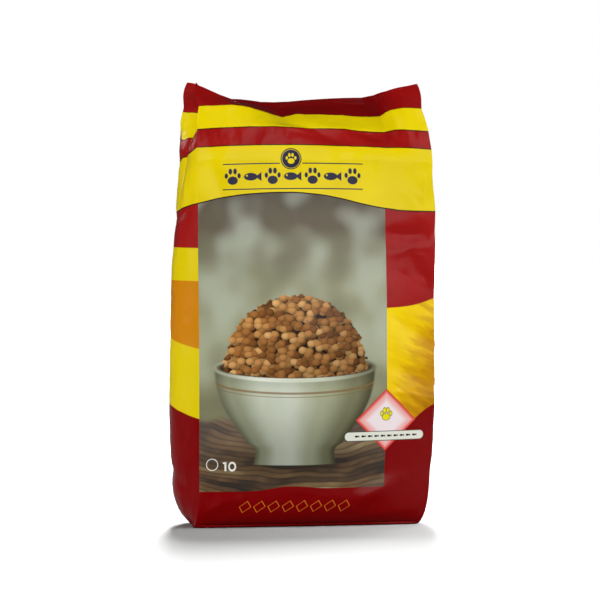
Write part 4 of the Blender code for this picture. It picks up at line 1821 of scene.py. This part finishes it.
@dataclass(frozen=True)
class FilmPrint:
    """Everything printed on the film, from the cut edge to the floor, with some painted shade and light
    in its colours.
    """

    colours: PrintColours = PrintColours()
    layout: PrintLayout = PrintLayout()
    picture: StillLife = StillLife()

    def paint(self, place: Place) -> Field:
        """The whole print.

        Args:
            place: The place on the film.

        Returns:
            Its colour.
        """
        title_foot = place.across.line_through(*self.layout.title_foot)
        art = self.fields(place, title_foot)
        art = self.front_picture(place, title_foot, art)
        marks = (self.title, self.diamond, self.banner, self.content_mark, self.low_row)
        for part in (*marks, self.top_bands):
            art = part(place, art)
        return art

    def fields(self, place: Place, title_foot: Field) -> Field:
        """The plain fields of colour below the bands: title yellow, then the sides' own fields.

        Args:
            place: The place on the film.
            title_foot: How far down the title's field ends.

        Returns:
            Their colour.
        """
        inks, lay = self.colours, self.layout
        across, down, edge = place.across, place.down, self.layout.edge
        either = across.size()
        right = place.mottled(80.0, 60.0, 2.0, inks.side_red, inks.right_red_patch)
        gold_starts = either.line_through(*lay.right_red_ends)
        # The gold darkens to the right and lower down, and its slanted streaks of darker gold are painted
        # shade of wrinkles.
        painted_wrinkle_shade = place.turned(*lay.gold_slant).drift(*lay.gold_painted_wrinkle_shade, seed=6.0)
        shade = either + (down - lay.gold_shade_from) * lay.gold_shade_slope
        gold = (shade + painted_wrinkle_shade * lay.gold_painted_wrinkle_shade_reach).ramp(*inks.gold)
        gold = gold.covered(inks.gold_fold, either.past(lay.crease, edge))
        right = right.covered(gold, down.past(gold_starts, edge))
        # Below the gold the red is the low red, painted shade of the lower body.
        right = right.covered(inks.low_red_painted_shade, down.past(either.line_through(*lay.gold_ends), edge))
        left = place.mottled(60.0, 60.0, 4.0, inks.side_red, inks.left_red_patch)
        left = left.covered(inks.side_yellow, down.past(lay.side_red_ends, edge))
        left = left.covered(inks.orange, down.past(lay.side_yellow_ends, edge))
        left = left.covered(inks.side_yellow, down.past(across.line_through(*lay.orange_ends), edge))
        # Below the left side's last yellow, too, the low red is painted shade.
        left = left.covered(inks.low_red_painted_shade, down.past(across.line_through(*lay.low_yellow_ends), edge))
        sides = right.covered(left, across.between(-lay.back_corner, -lay.crease, edge))
        yellow = place.mottled(90.0, 50.0, 8.0, inks.title_yellow, inks.title_yellow_patch)
        return yellow.covered(sides, down.past(title_foot, edge))

    def front_picture(self, place: Place, title_foot: Field, under: Field) -> Field:
        """The picture panel with the low red under it, painted darker as shade, and the thin line along
        the title's foot.

        Args:
            place: The place on the film.
            title_foot: How far down the title's field ends.
            under: The colours printed so far.

        Returns:
            The colours with the panel.
        """
        inks, lay = self.colours, self.layout
        picture = Field(place.across.tree, place.through(self.picture.group()).outputs["Colour"])
        inside = place.across.between(-lay.crease, lay.picture_right, lay.edge)
        picture_foot = place.across.line_through(*lay.picture_foot)
        below = place.down.past(picture_foot, lay.edge)
        # Below the picture the red is the low red, painted shade.
        panel = picture.covered(inks.low_red_painted_shade, below)
        art = under.covered(panel, inside * place.down.past(title_foot, lay.edge))
        line = (place.down - title_foot).size().short_of(lay.title_foot_line / 2, lay.line_edge)
        return art.covered(inks.pin_line, line)

    def title(self, place: Place, under: Field) -> Field:
        """The title: a round emblem over a row of marks between two thin rules.

        Args:
            place: The place on the film.
            under: The colours printed so far.

        Returns:
            The colours with the title.
        """
        inks, lay = self.colours, self.layout
        middle = (lay.title_left + lay.title_right) / 2
        half = (lay.title_right - lay.title_left) / 2
        spot = place.moved(*lay.emblem)
        emblem = spot.from_centre() - lay.emblem_size
        rules = place.bar(middle, lay.rules[0], half, lay.rule_half)
        rules = rules.most(emblem * -1.0 + lay.emblem_clear)
        rules = rules.least(place.bar(middle, lay.rules[1], half, lay.rule_half))
        art = under.covered(inks.navy, rules.short_of(0.0, 0.7))
        art = art.covered(inks.navy, emblem.short_of(0.0, 0.8))
        ring = (emblem + lay.emblem_ring_in).size() - lay.emblem_ring_half
        art = art.covered(inks.title_yellow, ring.short_of(0.0, 0.6))
        mark = PAW.on(spot, lay.emblem_size * lay.emblem_mark)
        art = art.covered(inks.title_yellow, mark.short_of(0.0, 0.7))
        marks_down = (lay.rules[0] + lay.rules[1]) / 2
        lowered = Place(place.across, place.down - marks_down - lay.title_mark_drop)
        row, cell = lowered.in_row(lay.title_left, lay.title_right, lay.title_marks)
        odd = (cell / 2.0 - (cell / 2.0).whole()) * 2.0
        paws = PAW.on(row, lay.title_mark_size)
        fishes = FISH.on(row, lay.title_mark_size)
        fishes = fishes.most(row.oval(*lay.fish_eye) * -1.0)
        marks = paws * (odd * -1.0 + 1.0) + fishes * odd
        marks = marks.most(place.bar(middle, marks_down, half, lay.title_marks_half))
        return art.covered(inks.navy, marks.short_of(0.0, 0.8))

    def diamond(self, place: Place, under: Field) -> Field:
        """The diamond: white in the middle, a soft red rim, a thin red line and one yellow mark.

        Args:
            place: The place on the film.
            under: The colours printed so far.

        Returns:
            The colours with the diamond.
        """
        inks, lay = self.colours, self.layout
        spot = place.moved(*lay.diamond).scaled(*lay.diamond_half)
        reach = spot.across.size() + spot.down.size()
        art = under.covered(reach.ramp(*inks.diamond), reach.short_of(1.0, 0.016))
        mark = PAW.on(place.moved(*lay.diamond_mark), lay.diamond_mark_size)
        art = art.covered(inks.diamond_mark_line, mark.short_of(0.9, 0.9))
        return art.covered(inks.diamond_mark, mark.short_of(-0.1, 0.7))

    def banner(self, place: Place, under: Field) -> Field:
        """The pale banner with round ends across the diamond, with a row of small dark marks.

        Args:
            place: The place on the film.
            under: The colours printed so far.

        Returns:
            The colours with the banner.
        """
        inks, lay = self.colours, self.layout
        tilted = place.down - lay.banner_middle - (place.across - lay.banner_left) * lay.banner_rise
        middle = (lay.banner_left + lay.banner_right) / 2
        straight = (lay.banner_right - lay.banner_left) / 2 - lay.banner_half
        along = ((place.across - middle).size() - straight).most(0.0)
        shape = Place(along, tilted).from_centre() - lay.banner_half
        art = under.covered(inks.banner_line, shape.short_of(0.5, 0.8))
        art = art.covered(inks.banner, shape.short_of(-0.5, 0.7))
        first = lay.banner_left + lay.banner_margins[0]
        last = lay.banner_right - lay.banner_margins[1]
        row, _ = Place(place.across, tilted).in_row(first, last, lay.banner_marks)
        marks = FISH.on(row, lay.banner_mark_size)
        marks = marks.most((place.across - (first + last) / 2).size() - (last - first) / 2)
        return art.covered(inks.banner_mark, marks.short_of(0.0, 0.7))

    def content_mark(self, place: Place, under: Field) -> Field:
        """A plain ring and the plain figures of the weight, in white.

        Args:
            place: The place on the film.
            under: The colours printed so far.

        Returns:
            The colours with the mark.
        """
        inks, lay = self.colours, self.layout
        ring = (place.moved(*lay.ring).from_centre() - lay.ring_size).size() - lay.ring_half
        spot = place.moved(*lay.figures)
        one = spot.bar(*lay.one_stem).least(spot.bar(*lay.one_flag))
        naught = spot.oval(*lay.naught).size() - lay.naught_half
        shape = ring.least(one).least(naught)
        return under.covered(inks.white, shape.short_of(0.0, 0.8))

    def low_row(self, place: Place, under: Field) -> Field:
        """A row of slanted lozenges in thin orange outline, low on the front.

        Args:
            place: The place on the film.
            under: The colours printed so far.

        Returns:
            The colours with the row.
        """
        inks, lay = self.colours, self.layout
        first, last = lay.low_marks
        down = place.down - lay.low_marks_middle
        slanted = place.across + down * lay.low_marks_slant
        row, _ = Place(slanted, down).in_row(first, last, lay.low_marks_count)
        half_across, half_down = lay.low_mark_half
        reach = row.across.size() / half_across + row.down.size() / half_down
        away = (reach - 1.0) * (half_down * lay.low_mark_slope)
        line = away.size() - lay.low_mark_line / 2
        line = line.most((slanted - (first + last) / 2).size() - (last - first) / 2)
        line = line.most(down.size() - lay.low_marks_half)
        return under.covered(inks.outline_orange, line.short_of(0.0, 0.7))

    def top_bands(self, place: Place, under: Field) -> Field:
        """The bands round the top: the dark fin, its middle darkened by painted shade and its ends
        lightened by painted light, a yellow band, and a red band between thin lines.

        Args:
            place: The place on the film.
            under: The colours printed so far.

        Returns:
            The colours with the bands.
        """
        inks, lay = self.colours, self.layout
        down = place.down
        red = place.mottled(70.0, 30.0, 9.0, inks.band_red, inks.band_red_patch)
        # Painted shade darkens the fin's middle, and painted light brightens its ends.
        middle = place.across.size().short_of(lay.fin_painted_shade_reach, lay.fin_painted_shade_fades_over)
        fin = middle.colours(inks.fin_red_painted_light, inks.fin_red_painted_shade)
        art = under
        for colour, ends, thick in (
            (red, lay.band_ends, lay.pin_line),
            (inks.title_yellow, lay.shoulder_ends, lay.pin_line),
            (fin, lay.fin_ends, lay.fin_line),
        ):
            end = place.across.line_through(*ends)
            art = art.covered(colour, down.short_of(end, lay.edge))
            art = art.covered(inks.pin_line, (down - end).size().short_of(thick / 2, lay.line_edge))
        return art


@dataclass(frozen=True)
class GlossyFilm:
    """The laminated film: glossy, with fine wrinkles where it isn't stretched.

    Heights are in metres, and places on the film in millimetres with the width that a change
    takes last.
    """

    print_on_it: FilmPrint = FilmPrint()
    gloss: float = 0.18
    dulled: float = 0.10
    shine: float = 0.20
    fine_wrinkle: float = 0.00006
    crinkle: float = 0.0008
    fin_crinkle: float = 0.0006
    seam_rib: float = 0.0005
    seam_pitch: float = 3.0
    seam_from: Pair = (472.0, 1.6)
    shoulder_to: Pair = (130.0, 70.0)
    base_from: Pair = (610.0, 60.0)
    right_edge: Triple = (120.0, 176.0, 60.0)
    sides_from: Pair = (178.0, 12.0)
    right_loose: float = 0.4
    sides_loose: float = 0.9
    least_loose: float = 0.1
    pulled_across: Triple = (112.0, 176.0, 40.0)
    pulled_down: Triple = (215.0, 500.0, 60.0)
    pull_slant: Pair = (0.8, 0.6)
    pull: float = 0.00028
    fin_to: Pair = (44.0, 14.0)
    scuffed_above: float = 0.62
    scuff: float = 0.25

    def finish(self) -> bpy.types.Material:
        """Builds the film's finish: its print, its gloss and its fine wrinkles.

        Returns:
            The material.
        """
        finish = bpy.data.materials.new("printed_film")
        finish.use_nodes = True
        tree = finish.node_tree
        shader = tree.nodes["Principled BSDF"]
        shader.inputs["Specular IOR Level"].default_value = self.shine
        film_map = tree.nodes.new("ShaderNodeUVMap")
        film_map.uv_map = "Film"
        place = Place.read(tree, film_map.outputs[0], MILLIMETRES)
        self.print_on_it.paint(place).into(shader.inputs["Base Color"])
        node = place.through(self.wrinkles())
        tree.links.new(node.outputs["Roughness"], shader.inputs["Roughness"])
        bump = tree.nodes.new("ShaderNodeBump")
        bump.inputs["Distance"].default_value = 1.0
        tree.links.new(node.outputs["Height"], bump.inputs["Height"])
        tree.links.new(bump.outputs["Normal"], shader.inputs["Normal"])
        return finish

    def wrinkles(self) -> bpy.types.NodeTree:
        """The film's surface as a node group.

        Returns:
            The group: the wrinkles' height in metres, and the roughness.
        """
        place, out = start_group("film_wrinkles", Height="Float", Roughness="Float")
        across, down = place.across, place.down
        loose = down.short_of(*self.shoulder_to).most(down.past(*self.base_from))
        loose = loose.most(across.between(*self.right_edge) * self.right_loose)
        loose = loose.most(across.size().past(*self.sides_from) * self.sides_loose)
        loose = loose * (1.0 - self.least_loose) + self.least_loose
        crease = place.drift(34.0, 27.0, detail=2.0, seed=12.0).size()
        second = place.drift(17.0, 23.0, seed=31.0).size()
        crumple = (crease + second * 0.5) * loose * self.crinkle
        pulled = place.turned(*self.pull_slant).drift(50.0, 14.0, seed=40.0).size()
        pulled = pulled * across.between(*self.pulled_across) * down.between(*self.pulled_down)
        pleats = place.drift(46.0, 3.6, detail=2.0, seed=6.0).size()
        fin = pleats * down.short_of(*self.fin_to) * self.fin_crinkle
        grain = place.cloud(2.4, 2.4, detail=3.0, seed=8.0) * self.fine_wrinkle
        ribs = down / self.seam_pitch
        ribs = (ribs - ribs.whole() - 0.5).size()
        seam = ribs * across.size().past(*self.seam_from) * self.seam_rib
        height = crumple + pulled * self.pull + fin + grain + seam
        wear = place.cloud(42.0, 52.0, detail=3.0, seed=17.0)
        scuffs = Place(across, down * 0.5).cloud(1.6, 24.0, seed=3.0) - self.scuffed_above
        rough = wear * self.dulled + self.gloss + scuffs.most(0.0) * self.scuff
        height.into(out.inputs["Height"])
        rough.into(out.inputs["Roughness"])
        return height.tree


@dataclass(frozen=True)
class View:
    """Where the photograph was taken from, and how much of the world it takes in."""

    azimuth: float = -13.0
    elevation: float = 2.0
    distance: float = 7.0
    field: float = 0.8706
    aim_height: float = 0.325
    aim_left: float = 0.0040
    sensor: float = 36.0
    sees_to: float = 50.0

    def place(self) -> None:
        """Adds the camera and makes it the scene's own."""
        turn, tilt = math.radians(self.azimuth), math.radians(self.elevation)
        away = Vector((math.sin(turn) * math.cos(tilt), -math.cos(turn) * math.cos(tilt), math.sin(tilt)))
        to_right = Vector((math.cos(turn), math.sin(turn), 0.0))
        aim = Vector((0.0, 0.0, self.aim_height)) - self.aim_left * to_right
        bpy.ops.object.camera_add(location=aim + away * self.distance)
        camera = bpy.context.object
        camera.name = "camera"
        camera.rotation_euler = (-away).to_track_quat("-Z", "Y").to_euler()
        camera.data.sensor_width = self.sensor
        camera.data.lens = self.sensor * self.distance / self.field
        camera.data.clip_end = self.sees_to
        bpy.context.scene.camera = camera


@dataclass(frozen=True)
class Softbox:
    """One soft lamp of the studio: a glowing rectangle aimed at the bag."""

    name: str
    place: Triple
    size: Pair
    power: float
    mirrored: bool = True
    floor_only: bool = False
    aim: Triple = (0.0, 0.0, 0.32)

    def add(self, floor: bpy.types.Object) -> None:
        """Adds the lamp, turned to what it lights.

        Args:
            floor: The floor, which a lamp may light by itself.
        """
        bpy.ops.object.light_add(type="AREA", location=self.place)
        lamp = bpy.context.object
        lamp.name = self.name
        lamp.data.shape = "RECTANGLE"
        lamp.data.size, lamp.data.size_y = self.size
        lamp.data.energy = self.power
        lamp.visible_glossy = self.mirrored
        way = Vector(self.aim) - Vector(self.place)
        lamp.rotation_euler = way.to_track_quat("-Z", "Y").to_euler()
        if self.floor_only:
            lit = bpy.data.collections.new(f"lit_by_{self.name}")
            lit.objects.link(floor)
            lamp.light_linking.receiver_collection = lit


def floor_lamp(name: str, place: tuple, size: tuple, power: float, aim: tuple) -> Softbox:
    """A lamp that lights the floor alone and isn't seen in the film."""
    return Softbox(name, place, size, power, mirrored=False, floor_only=True, aim=aim)


@dataclass(frozen=True)
class Studio:
    """A plain white floor and soft light: a bright sweep behind the bag, a darker room before it."""

    floor_half: float = 14.0
    floor_colour: Colour = (0.37, 0.37, 0.37, 1.0)
    floor_bounce: Colour = (0.05, 0.05, 0.05, 1.0)
    floor_dull: float = 0.9
    glow_starts: float = 0.4
    glow_full: float = 2.1
    front_level: float = 0.04
    back_level: float = 0.03
    top_level: float = 0.03
    rear_from: float = 0.10
    rear_over: float = 1.30
    top_from: float = 0.65
    top_over: float = 0.60
    lamps: tuple[Softbox, ...] = (
        Softbox("key", (-3.6, -3.1, 1.2), (3.0, 2.6), 152.0, mirrored=False),
        Softbox("fill", (3.6, -2.8, 0.9), (2.4, 2.4), 138.0, mirrored=False),
        Softbox("left_side", (-4.4, 0.6, 0.9), (2.4, 2.0), 66.0, mirrored=False),
        Softbox("left_glint", (-2.6, 4.2, 1.9), (1.5, 1.2), 10.0),
        Softbox("right_glint", (1.5, -4.15, 1.2), (2.2, 1.2), 18.0),
        Softbox("haze", (1.35, -3.1, 2.3), (1.4, 1.2), 9.5),
        Softbox("top", (0.0, -1.1, 3.1), (2.4, 1.4), 12.0, mirrored=False),
        Softbox("rear", (2.2, 4.1, 0.8), (2.0, 1.6), 125.0),
        floor_lamp("right_floor", (0.72, -0.28, 0.24), (0.3, 0.3), 12.0, (0.30, -0.16, 0.0)),
        floor_lamp("sweep", (1.3, 5.6, 6.2), (0.9, 8.0), 3500.0, (0.0, 0.0, 0.0)),
        floor_lamp("side_sweep", (5.0, 5.2, 6.2), (2.0, 8.0), 280.0, (0.0, 0.0, 0.0)),
    )

    def build(self) -> None:
        """Adds the floor, the sky and the lamps, and reports them."""
        bpy.ops.mesh.primitive_plane_add(size=2.0 * self.floor_half)
        floor = bpy.context.object
        floor.name = "floor"
        floor.data.materials.append(self.floor_finish())
        self.sky()
        for lamp in self.lamps:
            lamp.add(floor)
        LOG.info("%s and %d lamps", floor.name, len(self.lamps))

    def floor_finish(self) -> bpy.types.Material:
        """A matt white floor, which the camera sees fade into the white behind it further out.

        Returns:
            The material.
        """
        finish = bpy.data.materials.new("floor_white")
        finish.use_nodes = True
        tree = finish.node_tree
        shader = tree.nodes["Principled BSDF"]
        shader.inputs["Roughness"].default_value = self.floor_dull
        shader.inputs["Specular IOR Level"].default_value = 0.0
        shader.inputs["Emission Color"].default_value = WHITE
        away = Place.read(tree, tree.nodes.new("ShaderNodeTexCoord").outputs["Object"]).from_centre()
        middle, width = (self.glow_starts + self.glow_full) / 2, self.glow_full - self.glow_starts
        seen = Field(tree, tree.nodes.new("ShaderNodeLightPath").outputs["Is Camera Ray"])
        seen.colours(self.floor_bounce, self.floor_colour).into(shader.inputs["Base Color"])
        (seen * away.past(middle, width)).into(shader.inputs["Emission Strength"])
        return finish

    def sky(self) -> None:
        """White to the camera; to the bag a dim room, a little dimmer behind and above it than before it.
        """
        world = bpy.context.scene.world or bpy.data.worlds.new("studio")
        bpy.context.scene.world = world
        world.use_nodes = True
        tree = world.node_tree
        tree.nodes.clear()
        out = tree.nodes.new("ShaderNodeOutputWorld")
        background = tree.nodes.new("ShaderNodeBackground")
        background.inputs["Color"].default_value = WHITE
        split = tree.nodes.new("ShaderNodeSeparateXYZ")
        tree.links.new(tree.nodes.new("ShaderNodeTexCoord").outputs["Generated"], split.inputs[0])
        rear = Field(tree, split.outputs["Y"]).past(self.rear_from, self.rear_over)
        level = rear * (self.back_level - self.front_level) + self.front_level
        above = Field(tree, split.outputs["Z"]).past(self.top_from, self.top_over)
        level = level + above * (level * -1.0 + self.top_level)
        seen = Field(tree, tree.nodes.new("ShaderNodeLightPath").outputs["Is Camera Ray"])
        level.most(seen).into(background.inputs["Strength"])
        tree.links.new(background.outputs[0], out.inputs[0])


def main() -> None:
    """Builds the bag, its studio and the camera."""
    logging.basicConfig(level=logging.INFO, format="%(message)s")
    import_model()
    tube = FilmTube(FilmCut(), TopFold(), FilledBody(), Division())
    film = FilmBag(tube, MAIN_FOLDS + FINE_CREASES, LooseFilm()).build()
    film.data.materials.append(GlossyFilm().finish())
    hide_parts("bag")
    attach(film, "root")
    LOG.info("%s: %d faces", film.name, len(film.data.polygons))
    Studio().build()
    View().place()
    bpy.context.scene.view_settings.view_transform = "Standard"


if __name__ == "__main__":
    main()
